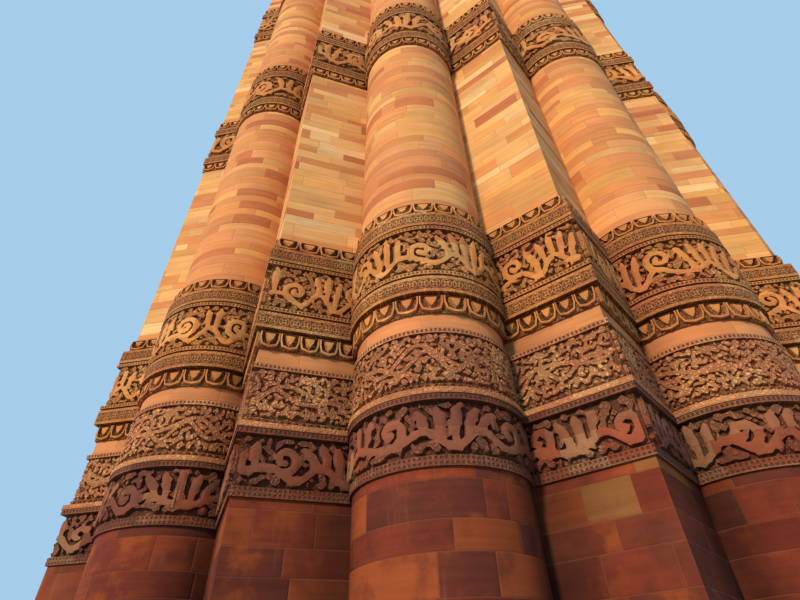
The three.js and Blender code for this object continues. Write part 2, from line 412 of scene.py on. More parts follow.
@dataclass
class Patch:
    """A facet between two levels.

    turns holds, for an arc, the angles of its two edges at both levels; ends holds, for a
    flat facet, the plan points of its edges. Both are blended in a straight line.
    """

    facet: Facet
    low: Level
    high: Level
    ends: Array
    turns: Array

    @staticmethod
    def between(facet: Facet, low: Level, high: Level, low_ends: Sequence[Array],
                high_ends: Sequence[Array]) -> "Patch":
        """Makes the patch from the facet's edge points at both levels."""
        ends = np.array([low_ends, high_ends])
        radii = np.array([low.radius, high.radius])[:, None, None]
        turns = wrapped(azimuth(ends - facet.centre * radii) - facet.middle)
        if facet.curved and np.allclose(facet.centre, 0):
            turns = np.array([[-FLUTE_PITCH / 2, FLUTE_PITCH / 2]] * 2)
        return Patch(facet, low, high, ends, turns)

    @property
    def bow(self) -> float:
        """Radius of an arc at half its height."""
        radius = (self.low.radius + self.high.radius) / 2
        return radius * self.facet.bend + (self.low.out + self.high.out) / 2

    @property
    def width(self) -> float:
        """Metres across the patch at half its height."""
        if self.facet.curved:
            return float(self.bow * (self.turns[:, 1] - self.turns[:, 0]).mean())
        return float(np.linalg.norm(self.ends[:, 1] - self.ends[:, 0], axis=-1).mean())

    @property
    def height(self) -> float:
        """Metres up the patch."""
        return self.high.z - self.low.z

    @property
    def origin(self) -> float:
        """Fraction across the patch of the flute's middle: an arc's middle or the tip."""
        return {-1: 1.0, 0: 0.5, 1: 0.0}[self.facet.hand]

    def metres(self, t: Array) -> Array:
        """Metres along the facet for fractions t, counted from the flute's middle."""
        return (t - self.origin) * self.width

    def place(self, t: Array, v: Array, out: Array) -> Array:
        """Points in space: t across the patch and v up it from 0 to 1, out in metres.

        An arc point is centre + (bend * radius + out) * direction; a flat one is the
        blend of the four corners plus out along the normal.
        """
        if self.facet.curved:
            radius = blend(self.low.radius, self.high.radius, v)
            stand = blend(self.low.out, self.high.out, v) + out
            first, last = (blend(self.turns[0, end], self.turns[1, end], v) for end in (0, 1))
            turn = self.facet.middle + blend(first, last, t)
            plan = self.facet.centre * radius[:, None] + polar(turn, self.facet.bend * radius + stand)
        else:
            low, high = (blend(*ends, t[:, None]) for ends in self.ends)
            plan = blend(low, high, v[:, None]) + self.facet.normal * out[:, None]
        return np.concatenate([plan, blend(self.low.z, self.high.z, v)[:, None]], axis=1)


def stone_offset(flute: int) -> float:
    """Metres added along a flute's masonry so that its stones differ from its neighbours'."""
    first, apart = 10.0, 7.31
    return first + apart * flute


@dataclass
class Wall:
    """The facets of a plan with their corners, ready to place points at any level."""

    plan: Plan
    facets: list[Facet] = field(init=False)

    def __post_init__(self) -> None:
        """Lists the facets of the plan."""
        self.facets = facets_of(self.plan)

    def corners(self, level: Level) -> Array:
        """Start corner of every facet at a level, one row each."""
        return np.array([corner(self.facets[i - 1], facet, level.radius, level.out)
                         for i, facet in enumerate(self.facets)])

    def patches(self, low: Level, high: Level) -> list[Patch]:
        """The stretch of every facet between two levels."""
        low_starts, high_starts = self.corners(low), self.corners(high)
        low_ends, high_ends = np.roll(low_starts, -1, axis=0), np.roll(high_starts, -1, axis=0)
        return [Patch.between(facet, low, high, (low_starts[i], low_ends[i]),
                              (high_starts[i], high_ends[i])) for i, facet in enumerate(self.facets)]

    def outline(self, level: Level, arc_steps: int,
                flat_steps: int) -> tuple[Array, Array, Array, Array]:
        """One closed loop round the wall, with the points of each facet evenly spaced.

        Args:
            level: Where the loop runs.
            arc_steps: Points on a curved facet.
            flat_steps: Points on a flat facet.

        Returns:
            Plan points; the metres along at the left and at the right end of the stretch
            that follows each point, which stays inside its own facet; whether it is flat.
        """
        points, left, right, flat = [], [], [], []
        for patch in self.patches(level, level):
            steps = arc_steps if patch.facet.curved else flat_steps
            t = np.arange(steps) / steps
            start = stone_offset(patch.facet.flute)
            points.append(patch.place(t, np.zeros(steps), np.zeros(steps))[:, :2])
            left.append(start + patch.metres(t))
            right.append(start + patch.metres(t + 1 / steps))
            flat.append(np.full(steps, 0.0 if patch.facet.curved else 1.0))
        return tuple(np.concatenate(part) for part in (points, left, right, flat))

    def radii(self, level: Level, angles: Array, steps: int = 24) -> Array:
        """Distance of the wall's face from the axis at each azimuth."""
        plan = self.outline(level, steps, steps)[0]
        found = azimuth(plan)
        order = np.argsort(found)
        return np.interp(wrapped(angles), found[order], np.linalg.norm(plan, axis=1)[order],
                         period=2 * np.pi)


def ring(wall: Wall, levels: Sequence[Level], well: Sequence[Level], steps: tuple[int, int],
         raised: Sequence[float]) -> Form:
    """A closed ring: its outer face follows the flutes, and so does its back unless it is a well.

    Args:
        wall: The plan of the outer face.
        levels: Outer levels, from the bottom up, and then levels of a back that follows
            the flutes, from the top down.
        well: Levels of a round inner face, from the top down, with its radius as theirs.
        steps: Points on a curved and on a flat facet.
        raised: How far each of the levels counts as standing out, 0 to 1.

    Returns:
        The closed form.
    """
    outlines = [wall.outline(level, *steps) for level in levels]
    plans = [outline[0] for outline in outlines]
    lefts = [outline[1] for outline in outlines]
    rights = [outline[2] for outline in outlines]
    angles = azimuth(plans[-1])
    for level in well:
        plans.append(polar(angles, np.full(len(angles), level.radius)))
        lefts.append(lefts[-1])
        rights.append(rights[-1])
    heights = np.array([level.z for level in [*levels, *well]])
    standing = np.array([*raised, *[BARE] * len(well)], dtype=float)
    count = len(angles)
    faces = band_of_quads(len(plans), count, True, True)
    i, j = np.divmod(faces[:, 0], count)
    up = (i + 1) % len(plans)
    left, right, flat = np.array(lefts), np.array(rights), outlines[0][3][j]
    along = np.stack([left[i, j], right[i, j], right[up, j], left[up, j]], axis=1)
    ups = np.stack([heights[i], heights[i], heights[up], heights[up]], axis=1)
    marks = np.stack([standing[i], standing[i], standing[up], standing[up]], axis=1)
    flats = np.repeat(flat[:, None], 4, axis=1)
    points = np.concatenate([np.column_stack([plan, np.full(count, z)])
                             for plan, z in zip(plans, heights)])
    return Form(points, [faces], np.column_stack([along.ravel(), ups.ravel()]),
                np.column_stack([flats.ravel(), marks.ravel()]))


# Carving on a flat panel, before it is laid on the wall

@dataclass
class Carving:
    """Carved forms on a panel: each point is (across, up, out of the ground) in metres.

    Every form is a shell whose rim is sunk in the ground, so that it needs no underside.
    """

    points: Array
    faces: list[Array]

    @staticmethod
    def joined(parts: Sequence["Carving"]) -> "Carving":
        """Joins carvings into one."""
        return Carving(np.concatenate([part.points for part in parts]), joined_faces(parts))

    def scattered(self, places: Array) -> "Carving":
        """Copies of the carving, each with its origin at one of the places (across, up)."""
        points = self.points + at_height(places, 0.0)[:, None]
        shift = (np.arange(len(places)) * len(self.points))[:, None, None]
        return Carving(points.reshape(-1, 3),
                       [(part[None] + shift).reshape(-1, part.shape[1]) for part in self.faces])

    def laid(self, patch: Patch, size: tuple[float, float], relief: float) -> Form:
        """Lays the panel over a patch of the wall.

        Args:
            patch: Where it goes.
            size: Width and height of the panel.
            relief: Height of its carving, which counts as fully standing out.

        Returns:
            The form in space.
        """
        t, v = self.points[:, 0] / size[0], self.points[:, 1] / size[1]
        points = patch.place(t, v, self.points[:, 2])
        wall = np.column_stack([stone_offset(patch.facet.flute) + patch.metres(t), points[:, 2]])
        raised = np.clip(self.points[:, 2] / relief, 0, 1)
        return Form.on_points(points, self.faces, wall, np.column_stack([np.zeros(len(t)), raised]))


def stamp(loops: Sequence[Array], peak: tuple[float, float, float]) -> Carving:
    """A form from nested loops, anticlockwise, from the sunk outline inwards to a peak."""
    count = len(loops[0])
    points = np.concatenate([*loops, [np.array(peak)]])
    last = (len(loops) - 1) * count + np.arange(count)
    fan = np.stack([last, np.roll(last, -1), np.full(count, len(points) - 1)], axis=-1)
    return Carving(points, [band_of_quads(len(loops), count, False, True), fan])


def at_height(outline: Array, height: Union[Array, float]) -> Array:
    """An outline in the panel's plane, lifted to a height."""
    return np.column_stack([outline, np.broadcast_to(height, len(outline))])


def shrunk(outline: Array, centre: tuple[float, float], scale: float) -> Array:
    """An outline scaled towards a centre."""
    middle = np.array(centre)
    return middle + (outline - middle) * scale


class Section(Enum):
    """Cross-section of a carved stroke: (share of half the width, share of the height)."""

    FLAT = ((1.0, None), (0.82, 1.0), (-0.82, 1.0), (-1.0, None))
    RIDGE = ((1.0, None), (0.0, 1.0), (-1.0, None))


def stroke(path: Array, width: float, top: float, section: Section = Section.FLAT) -> Carving:
    """A bar of carving along a path: the section is set across the path at each point.

    Args:
        path: Points (across, up).
        width: Its full width.
        top: Height of its top over the ground.
        section: Its cross-section; the edges start a little under the ground.

    Returns:
        The carving, with its two ends closed.
    """
    way = np.gradient(path, axis=0)
    way /= np.linalg.norm(way, axis=1, keepdims=True) + 1e-9
    left = np.stack([-way[:, 1], way[:, 0]], axis=-1)
    rows = [at_height(path + left * (width / 2) * side, -SUNK if lift is None else top * lift)
            for side, lift in section.value]
    count = len(rows)
    points = np.stack(rows, axis=1).reshape(-1, 3)
    caps = np.array([np.arange(count)[::-1], (len(path) - 1) * count + np.arange(count)])
    return Carving(points, [band_of_quads(len(path), count, False, False), caps])


def spiral(centre: Array, radius: tuple[float, float], turns: float, hand: int, points: int) -> Array:
    """A path that winds in from straight below a centre.

    A point is centre + r * (cos a, sin a). The angle a grows evenly from a quarter turn
    below, and the radius r shrinks with a power of the way along.

    Args:
        centre: What it winds round.
        radius: Its first and its last distance from there.
        turns: How often it goes round.
        hand: 1 anticlockwise, -1 clockwise.
        points: Number of its points.

    Returns:
        The points (across, up).
    """
    s, power = np.linspace(0, 1, points), 0.85
    angle = -np.pi / 2 + hand * 2 * np.pi * turns * s
    reach = blend(*radius, s ** power)
    return centre + reach[:, None] * np.column_stack([np.cos(angle), np.sin(angle)])


def bar_field(at: Array, path: Array, width: Array) -> Array:
    """How far each place lies inside a bar: half its width minus the distance to its path.

    Args:
        at: Places (across, up), one row each.
        path: Points along the bar's middle.
        width: Full width at each of them.

    Returns:
        The field, above 0 inside the bar.
    """
    half = width / 2
    way = np.diff(path, axis=0)
    gap = at[:, None] - path[None, :-1]
    share = np.clip((gap * way).sum(-1) / (way ** 2).sum(-1), 0, 1)
    distance = np.linalg.norm(gap - share[..., None] * way, axis=-1)
    return (half[:-1] + np.diff(half) * share - distance).max(axis=1)


# What is left of a grid cell, by which of its corners lie inside. Corners are 0 to 3
# anticlockwise from the lower left and add 1, 2, 4 and 8; 4 to 7 are the crossings on the
# edges that follow them.
CUT_CELLS = {
    1: ((0, 4, 7),), 2: ((4, 1, 5),), 4: ((5, 2, 6),), 8: ((7, 6, 3),),
    3: ((0, 1, 5, 7),), 6: ((4, 1, 2, 6),), 12: ((7, 5, 2, 3),), 9: ((0, 4, 6, 3),),
    7: ((0, 1, 2, 6, 7),), 14: ((4, 1, 2, 3, 7),), 13: ((0, 4, 5, 2, 3),), 11: ((0, 1, 5, 6, 3),),
    5: ((0, 4, 7), (5, 2, 6)), 10: ((4, 1, 5), (7, 6, 3)),
}
WHOLE = 15


def merged(whole: Array, local: Array) -> Array:
    """One quad for each upright run of whole cells.

    Args:
        whole: True where a grid cell is whole.
        local: Numbers of each cell's points, its four corners first.

    Returns:
        One row of four corners a quad.
    """
    edge = np.zeros((1, whole.shape[1]), dtype=bool)
    first = whole & ~np.vstack([edge, whole[:-1]])
    last = whole & ~np.vstack([whole[1:], edge])
    foot, head = (np.transpose(local, (1, 0, 2))[ends.T] for ends in (first, last))
    return np.stack([foot[:, 0], foot[:, 1], head[:, 2], head[:, 3]], axis=-1)


def crossings(first: Array, second: Array, values: tuple[Array, Array]) -> Array:
    """Points where a field changes sign between two sets of grid points, else halfway."""
    a, b = values
    apart = np.where(np.sign(a) == np.sign(b), 1.0, a - b)
    share = np.where(np.sign(a) == np.sign(b), 0.5, a / np.where(apart == 0, 1.0, apart))
    return blend(first, second, share[..., None])


def relief_of(size: tuple[float, float], values: Array, top: Array) -> Carving:
    """Carving with steep sides wherever a field on a grid is above 0.

    Each grid cell is cut along the straight lines between the crossings on its edges.
    The rim of the top lies a little lower than its inside.

    Args:
        size: Width and height of the panel.
        values: The field, one row of the grid each.
        top: Height of the carving at the grid's points.

    Returns:
        The carving.
    """
    (rows, columns), lower = values.shape, 0.96
    x, y = np.meshgrid(np.linspace(0, size[0], columns), np.linspace(0, size[1], rows))
    grid = np.stack([x, y, top], axis=-1)
    level = crossings(grid[:, :-1], grid[:, 1:], (values[:, :-1], values[:, 1:]))
    upright = crossings(grid[:-1], grid[1:], (values[:-1], values[1:]))
    rim = np.concatenate([level.reshape(-1, 3), upright.reshape(-1, 3)])
    points = np.concatenate([grid.reshape(-1, 3), rim * (1, 1, lower), rim * (1, 1, 0) - (0, 0, SUNK)])
    knot = np.arange(rows * columns).reshape(rows, columns)
    along = knot.size + np.arange(rows * (columns - 1)).reshape(rows, columns - 1)
    aside = knot.size + along.size + np.arange((rows - 1) * columns).reshape(rows - 1, columns)
    local = np.stack([knot[:-1, :-1], knot[:-1, 1:], knot[1:, 1:], knot[1:, :-1],
                      along[:-1], aside[:, 1:], along[1:], aside[:, :-1]], axis=-1)
    inside = values > 0
    kind = inside[:-1, :-1] + 2 * inside[:-1, 1:] + 4 * inside[1:, 1:] + 8 * inside[1:, :-1]
    faces = [merged(kind == WHOLE, local)]
    for number, polygons in CUT_CELLS.items():
        cells = local[kind == number]
        for polygon in polygons:
            faces.append(cells[:, polygon])
            for p, q in zip(polygon, polygon[1:] + polygon[:1]):
                if min(p, q) > 3:
                    start, stop = cells[:, p], cells[:, q]
                    faces.append(np.stack([start + len(rim), stop + len(rim), stop, start], axis=-1))
    used = np.unique(np.concatenate([part.ravel() for part in faces]))
    return Carving(points[used], [np.searchsorted(used, part) for part in faces])


def rosette(radius: float, top: float, petals: int) -> Carving:
    """A flower inside a ring: the radius and height of the inner loop swing with the petals."""
    crest, ditch, heart, reach, low, bud = 0.88, 0.68, 0.36, 0.18, 0.25, 0.55
    count = petals * 2
    angle = np.arange(count) * np.pi / petals
    circle = np.column_stack([np.cos(angle), np.sin(angle)])
    swing = (1 + (-1.0) ** np.arange(count)) / 2
    flower = circle * (radius * (heart + reach * swing))[:, None]
    return stamp([
        at_height(circle * radius, -SUNK),
        at_height(circle * radius * crest, top),
        at_height(circle * radius * ditch, 0.0),
        at_height(flower, top * (low + (1 - low) * swing)),
    ], (0.0, 0.0, top * bud))


PETAL_RIM = ((0.97, 0.9), (0.85, 1.0), (0.80, 0.0))
SPEARHEAD = np.array([[0.0, 0.24], [0.36, 0.52], [0.60, 0.94], [-0.60, 0.94], [-0.36, 0.52]])


def petal(width: float, height: float, top: float) -> Carving:
    """A U-shaped petal that hangs from its top edge, with a spearhead in its hollow.

    The outline is a straight stretch over a bowl of three corners, on which bulge places
    the outer two. PETAL_RIM gives the rim's loops as (scale of the outline, share of the
    top), and SPEARHEAD the spearhead's corners as shares of half the width and of the
    height.
    """
    half, belly, bulge, narrower, lower = 0.495 * width, 0.55 * height, 0.78, 0.8, 0.85
    shoulder = (1 - bulge) * belly
    outline = np.array([[-half, belly], [-bulge * half, shoulder], [0.0, 0.0], [bulge * half, shoulder],
                        [half, belly], [half, height], [-half, height]])
    pin, hollow = (0.0, height * 0.98), (0.0, height * 0.9, 0.0)
    rim = stamp([at_height(outline, -SUNK), *(at_height(shrunk(outline, pin, scale), top * lift)
                                              for scale, lift in PETAL_RIM)], hollow)
    spear, ridge = SPEARHEAD * (half, height), (0.0, height * 0.8)
    head = stamp([at_height(spear, -SUNK), at_height(shrunk(spear, ridge, narrower), top * lower)],
                 (*ridge, top))
    return Carving.joined([rim, head])


@dataclass(frozen=True)
class Scrollwork:
    """Plant scrollwork for one panel: main stems, and curling growth in the room they leave.

    Bold work sets scrolls and fans of long leaves on a wavy stem; fine work is growth
    with two crossing stems in it. weight is the width of the main strokes, pitch the
    distance between leaves or the wave of a fine stem, and curl the distance from turn
    to turn of the growth.

    FINENESS is the number of grid cells in a curl, HEADROOM the share of the height that
    main strokes keep to, MOAT the gap round them in curls, LOWER the height of all else
    against theirs, and OUTSIDE the field on the panel's border. Stems are (level, swing,
    wave): the first two are shares of the height, and the wave is in pitches. LEAF is
    (share of the way up, share of the width).

    A scroll's radius is within REACH and no more than LARGEST, and its top stays under
    ROOM. EYE is the radius of its inner end and GAP the room on either side. LARGEST
    and ROOM are shares of the height, and the other three are in widths of its stroke.
    """

    width: float
    height: float
    bold: bool
    weight: float
    relief: float
    pitch: float
    curl: float
    seed: int

    FINENESS = 2.65
    HEADROOM = 0.955
    MOAT = 0.22
    LOWER = 0.8
    OUTSIDE = -0.001
    BOLD_STEM = (0.26, 0.18, 3.9)
    FINE_STEMS = ((0.52, 0.26, 1.5), (0.42, 0.22, 1.0))
    LEAF = ((0.0, 0.42), (0.3, 0.74), (0.55, 1.0), (0.78, 0.92), (0.92, 0.55), (1.0, 0.08))
    REACH = (2.0, 2.5)
    LARGEST = 0.31
    ROOM = 0.9
    EYE = 0.35
    GAP = 0.5

    def carving(self) -> Carving:
        """The whole panel."""
        rng = np.random.default_rng(self.seed)
        columns, rows = (max(4, round(self.FINENESS * side / self.curl)) + 1
                         for side in (self.width, self.height))
        x, y = np.meshgrid(np.linspace(0, self.width, columns), np.linspace(0, self.height, rows))
        at = np.column_stack([x.ravel(), y.ravel()])
        drawn = self.leaves_and_scrolls(rng) if self.bold else \
            [self.stem(rng, *shape) for shape in self.FINE_STEMS]
        main = np.max([bar_field(at, path, width) for path, width in drawn], axis=0)
        main = np.minimum(main, self.HEADROOM * self.height - at[:, 1])
        growth = np.minimum(self.growth(at, rng), -main - self.MOAT * self.curl)
        values = np.maximum(main, growth).reshape(rows, columns)
        for border in (values[:, 0], values[:, -1], values[0], values[-1]):
            np.minimum(border, self.OUTSIDE, out=border)
        top = self.relief * np.where((main > growth) & self.bold, 1.0, self.LOWER)
        return relief_of((self.width, self.height), values, top.reshape(rows, columns))

    def stem(self, rng: np.random.Generator, level: float, swing: float,
             wave: float) -> tuple[Array, Array]:
        """A stem along the panel: the sum of two sines of uneven length about a level.

        Args:
            rng: Source of the random numbers.
            level: Its mean level, as a share of the height.
            swing: How far it swings, as a share of the height.
            wave: Length of the longer sine, in pitches.

        Returns:
            Its points (across, up), and its width at each.
        """
        length, beyond = wave * self.pitch, 0.02
        x = np.linspace(-beyond, 1 + beyond, 6 + int(12 * self.width / length)) * self.width
        first, second = rng.uniform(0, 2 * np.pi, 2)
        longer, shorter, quicker, slim = 0.7, 0.3, 8.8, 0.8
        sines = longer * np.sin(x * 2 * np.pi / length + first) + \
            shorter * np.sin(x * quicker / length + second)
        width = self.weight * (slim if self.bold else 1.0)
        return np.column_stack([x, (level + swing * sines) * self.height]), np.full(len(x), width)

    def leaves_and_scrolls(self, rng: np.random.Generator) -> list[tuple[Array, Array]]:
        """Fans of long leaves that rise from a wavy stem, and scrolls between the fans.

        Args:
            rng: Source of the random numbers.

        Returns:
            The points (across, up) of every stroke, and its width at each of them.
        """
        stem = self.stem(rng, *self.BOLD_STEM)
        drawn, at, leaves = [stem], rng.uniform(-0.6, 0.0) * self.pitch, int(rng.integers(0, 4))
        while at < self.width:
            drawn += self.fan(rng, stem[0], at, leaves)
            path, at = self.scroll(rng, stem[0], at + leaves * self.pitch)
            drawn.append((path, self.weight * np.linspace(0.95, 0.7, len(path))))
            leaves = int(rng.integers(2, 6))
        return drawn

    def fan(self, rng: np.random.Generator, stem: Array, at: float,
            leaves: int) -> list[tuple[Array, Array]]:
        """Long leaves side by side on a stem.

        A leaf's foot is nearer to its fan's middle than its tip, it bends outwards with
        the square of its height, and the outer leaves are shorter.

        Args:
            rng: Source of the random numbers.
            stem: The stem's points.
            at: Where the fan starts.
            leaves: How many leaves it has.

        Returns:
            The points (across, up) of every leaf, and its width at each of them.
        """
        drawn = []
        share, breadth = np.array(self.LEAF).T
        broad = self.pitch - 1.2 * self.curl / self.FINENESS
        splay, tip, droop, ragged = 0.8, 0.97, 0.15, 0.08
        lean, spread = rng.uniform(-0.3, 0.3) * self.pitch, leaves * self.pitch / 2
        for side in (2 * np.arange(leaves) + 1) / max(1, leaves) - 1:
            x = at + spread * (1 + splay * side)
            foot = float(np.interp(x, *stem.T))
            head = self.height * (tip - droop * side ** 2 - ragged * rng.random())
            bend = (spread * side / 2 + lean) * share ** 2
            leaf = np.column_stack([x + bend, blend(foot, head, share)])
            drawn.append((leaf, broad * rng.uniform(0.8, 0.95) * breadth))
        return drawn

    def scroll(self, rng: np.random.Generator, stem: Array, at: float) -> tuple[Array, float]:
        """A scroll that winds in from a stem.

        Args:
            rng: Source of the random numbers.
            stem: The stem's points.
            at: Where the room for it starts.

        Returns:
            Its points (across, up), and where its room ends.
        """
        shortest, spacing = 0.85, 1.35
        reach = min(rng.uniform(*self.REACH) * self.weight, self.LARGEST * self.height)
        middle = at + reach + self.GAP * self.weight
        foot = min(float(np.interp(middle, *stem.T)), self.ROOM * self.height - 2 * reach)
        turns = max(shortest, (reach - 0.4 * self.weight) / (spacing * self.weight))
        hand = int(rng.choice([-1, 1]))
        path = spiral(np.array([middle, foot + reach]), (reach, self.EYE * self.weight), turns, hand,
                      12 + int(8 * turns))
        return path, middle + reach + self.GAP * self.weight

    def growth(self, at: Array, rng: np.random.Generator) -> Array:
        """Lobed tendrils that wind round the nearest of many centres.

        Round each centre the field is the cosine of turn minus angle, plus a share of
        the cosine of the lobes, which bridges the gap between turns here and there.

        Args:
            at: Places (across, up), one row each.
            rng: Source of the random numbers.

        Returns:
            The field, above 0 in the growth.
        """
        spacing, stray, bridge = 2.6 * self.curl, 0.28, 0.26
        columns, rows = (max(1, round(side / spacing)) + 1 for side in (self.width, self.height))
        i, j = np.meshgrid(np.arange(columns), np.arange(rows))
        centres = np.column_stack([(i + 0.5 * (j % 2)).ravel(), j.ravel()]) * spacing
        centres = centres + rng.uniform(-stray, stray, centres.shape) * spacing
        gap = at[:, None] - centres[None]
        distance = np.linalg.norm(gap, axis=-1)
        near = distance.argmin(axis=1)
        rows_of = np.arange(len(at))
        radius, angle = distance[rows_of, near], np.arctan2(*gap[rows_of, near].T[::-1])
        hands, phases = rng.choice([-1, 1], len(centres)), rng.uniform(0, 2 * np.pi, len(centres))
        lobes = np.cos(5 * angle + phases[near])
        turn = 2 * np.pi * radius / self.curl + hands[near] * angle + phases[near] + 0.6 * lobes
        gaps = 0.5 * np.cos(3 * angle - phases[near])
        return self.curl / (2 * np.pi) * (np.cos(turn) + bridge + gaps)


# Carved bands

class Motif(Enum):
    """What a course of a carved band shows."""

    PLAIN = "a plain fillet"
    HANGING_PETALS = "petals that hang"
    ROSETTES = "flowers in rings"
    NOTCHES = "a row of small square notches"
    ZIGZAG = "a zigzag"
    SCROLL = "bold plant scrollwork"
    FOLIAGE = "close foliage"


@dataclass(frozen=True)
class Course:
    """One course of a carved band: a strip of the wall and the motif on it.

    low and high are its levels, face how far its ground stands out of the wall, relief
    how far the carving stands out of the ground, pitch the width of one repeat, and
    curl the distance from turn to turn of the growth on a scroll panel. MARGIN is the
    plain edge of such a panel, (beside, above), and the weights are the widths of its
    main strokes in pitches. SMOOTH_RAISED is how far a smooth strip counts as standing out.
    """

    motif: Motif
    low: float
    high: float
    face: float
    relief: float = 0.02
    pitch: float = 0.1
    curl: float = 0.085

    MARGIN = (0.014, 0.012)
    BOLD_WEIGHT = 0.56
    FINE_WEIGHT = 0.07
    SMOOTH_RAISED = 0.85

    @property
    def smooth(self) -> bool:
        """True where the strip has no carving of its own, only what its finish shows."""
        return self.motif in (Motif.PLAIN, Motif.NOTCHES, Motif.ROSETTES)

    @property
    def raised(self) -> float:
        """How far the strip itself counts as standing out."""
        return self.SMOOTH_RAISED if self.smooth else 0.0

    def carving(self, width: float, seed: int) -> Carving:
        """The motif over a panel of the given width.

        Args:
            width: Width of the panel.
            seed: Which design of a scroll panel.

        Returns:
            The carving.
        """
        height = self.high - self.low
        count = max(1, round(width / self.pitch))
        unit = width / count
        middles = np.column_stack([(np.arange(count) + 0.5) * unit, np.zeros(count)])
        if self.motif is Motif.HANGING_PETALS:
            return petal(unit, height, self.relief).scattered(middles)
        if self.motif is Motif.ZIGZAG:
            turns, swing, bar = np.arange(2 * count + 1), 0.3, 0.32
            path = np.column_stack([turns * unit / 2, height * (0.5 + swing * (-1.0) ** turns)])
            return stroke(path, height * bar, self.relief, Section.RIDGE)
        return self.panel(width, height, seed)

    def panel(self, width: float, height: float, seed: int) -> Carving:
        """Scrollwork inside a narrow margin."""
        beside, above = self.MARGIN
        bold = self.motif is Motif.SCROLL
        weight = self.pitch * (self.BOLD_WEIGHT if bold else self.FINE_WEIGHT)
        inner = Scrollwork(width - 2 * beside, height - 2 * above, bold, weight, self.relief,
                           self.pitch, self.curl, seed).carving()
        inner.points[:, :2] += self.MARGIN
        return inner


@dataclass(frozen=True)
class CarvedBand:
    """A ring of carved courses that follows every flute.

    designs is how many different panels take turns round a course, and parts the number
    of pieces that the carving is split into. A groove parts two courses that are more
    than GROOVE_GAP apart. It lies GROOVE behind the lower of their faces but at least
    DEEPEST out of the wall, and its edges are SLOPE wide. The ring starts and ends LIP
    beyond its courses, where it counts as LIP_RAISED, and its back lies at BACK inside
    the wall. MARKS gives the first trait at the foot and at the top of a course whose
    pattern is in its finish.
    """

    node: str
    storey: "Storey"
    courses: tuple[Course, ...]
    designs: int = 3
    parts: int = 1

    GROOVE = 0.07
    GROOVE_GAP = 0.012
    DEEPEST = 0.004
    BACK = -0.03
    SLOPE = 0.003
    LIP = 0.001
    LIP_RAISED = 0.3
    MARKS = {Motif.NOTCHES: (1.0, 2.0), Motif.ROSETTES: (2.7, 4.3)}

    def base(self) -> Form:
        """The stepped ring that the carving stands on, where a groove parts its courses.

        The first trait runs from 1 at the foot to 2 at the top of a course of notches, and
        from 3 to 4 up the row of flowers between the plain edges of its course.
        """
        levels, raised, marks = [], [], {}
        first, last = self.courses[0], self.courses[-1]
        steps = [(first.low - self.LIP, 0.0, self.LIP_RAISED)]
        for before, course in zip((None, *self.courses), self.courses):
            if before is not None and course.low - before.high > self.GROOVE_GAP:
                depth = max(self.DEEPEST, min(before.face, course.face) - self.GROOVE)
                steps += [(before.high + self.SLOPE, depth, 0.0), (course.low - self.SLOPE, depth, 0.0)]
            steps.append((course.low - self.SLOPE / 2, course.face, 0.0))
            if course.motif in self.MARKS:
                marks[len(steps)] = self.MARKS[course.motif]
            steps += [(z, course.face, course.raised) for z in (course.low, course.high)]
        steps.append((last.high + self.LIP, 0.0, self.LIP_RAISED))
        for z, out, stand in steps:
            levels.append(self.storey.level(z, out))
            raised.append(stand)
        for z in (last.high, first.low):
            levels.append(self.storey.level(z, self.BACK))
            raised.append(0.0)
        form = ring(self.storey.wall, levels, [], self.storey.steps, raised)
        form.traits[:, 0] = 0.0
        corners = form.traits.reshape(len(levels), -1, 4, 2)
        for row, (foot, top) in marks.items():
            corners[row, :, :, 0] = (foot, foot, top, top)
        return form

    def carved(self) -> list[Form]:
        """The motifs of all courses, laid on every facet."""
        forms = []
        for row, course in enumerate(self.courses):
            if course.smooth:
                continue
            low, high = (self.storey.level(z, course.face) for z in (course.low, course.high))
            designs: dict[tuple[int, int], tuple[Carving, tuple[float, float]]] = {}
            for patch in self.storey.wall.patches(low, high):
                key = (patch.facet.hand, patch.facet.flute // 2 % self.designs)
                if key not in designs:
                    seed = 1000 * row + 10 * (key[0] + 1) + key[1] + round(course.low * 100)
                    designs[key] = (course.carving(patch.width, seed), (patch.width, patch.height))
                carving, size = designs[key]
                forms.append(carving.laid(patch, size, course.relief))
        return forms

    def build(self, finish: bpy.types.Material) -> None:
        """Makes the band as one piece, or as several where its carving is rich."""
        carved = self.carved()
        share = math.ceil(len(carved) / self.parts)
        for part in range(self.parts):
            forms = carved[part * share:(part + 1) * share]
            if part == 0:
                forms = [self.base(), *forms]
            name = f"{self.node}_carving" + (f"_{part + 1}" if self.parts > 1 else "")
            piece = Form.joined(forms).build(name, finish)
            finish_piece(piece, [self.node] if part == 0 else [])


# Storeys

@dataclass(frozen=True)
class Storey:
    """A stretch of the tower from its floor to the deck above.

    low and high are the radii at the flute tips of those two levels. corbel is the height
    of the corbels under the deck and reach how far they jut out. well is the radius of
    the hollow inside, as a share of the radius at the flute tips.
    """

    name: str
    plan: Plan
    floor: float
    deck: float
    corbel: float
    well: float
    low: float
    high: float
    reach: float

    @property
    def wall(self) -> Wall:
        """Its fluted plan."""
        return Wall(self.plan)

    @property
    def steps(self) -> tuple[int, int]:
        """Points on a curved and on a flat facet."""
        return {Plan.ALTERNATE: (20, 3), Plan.ROUND: (10, 2), Plan.ANGULAR: (2, 3),
                Plan.PLAIN: (6, 2)}[self.plan]

    @property
    def wall_top(self) -> float:
        """Where the corbels start."""
        return self.deck - self.corbel

    def radius(self, z: float) -> float:
        """Radius at the flute tips, even between the floor and the deck."""
        return self.low + (self.high - self.low) * (z - self.floor) / (self.deck - self.floor)

    def level(self, z: float, out: float = 0.0) -> Level:
        """The wall's level at a height, or that of a face which stands out of the wall."""
        return Level(z, self.radius(z), out)


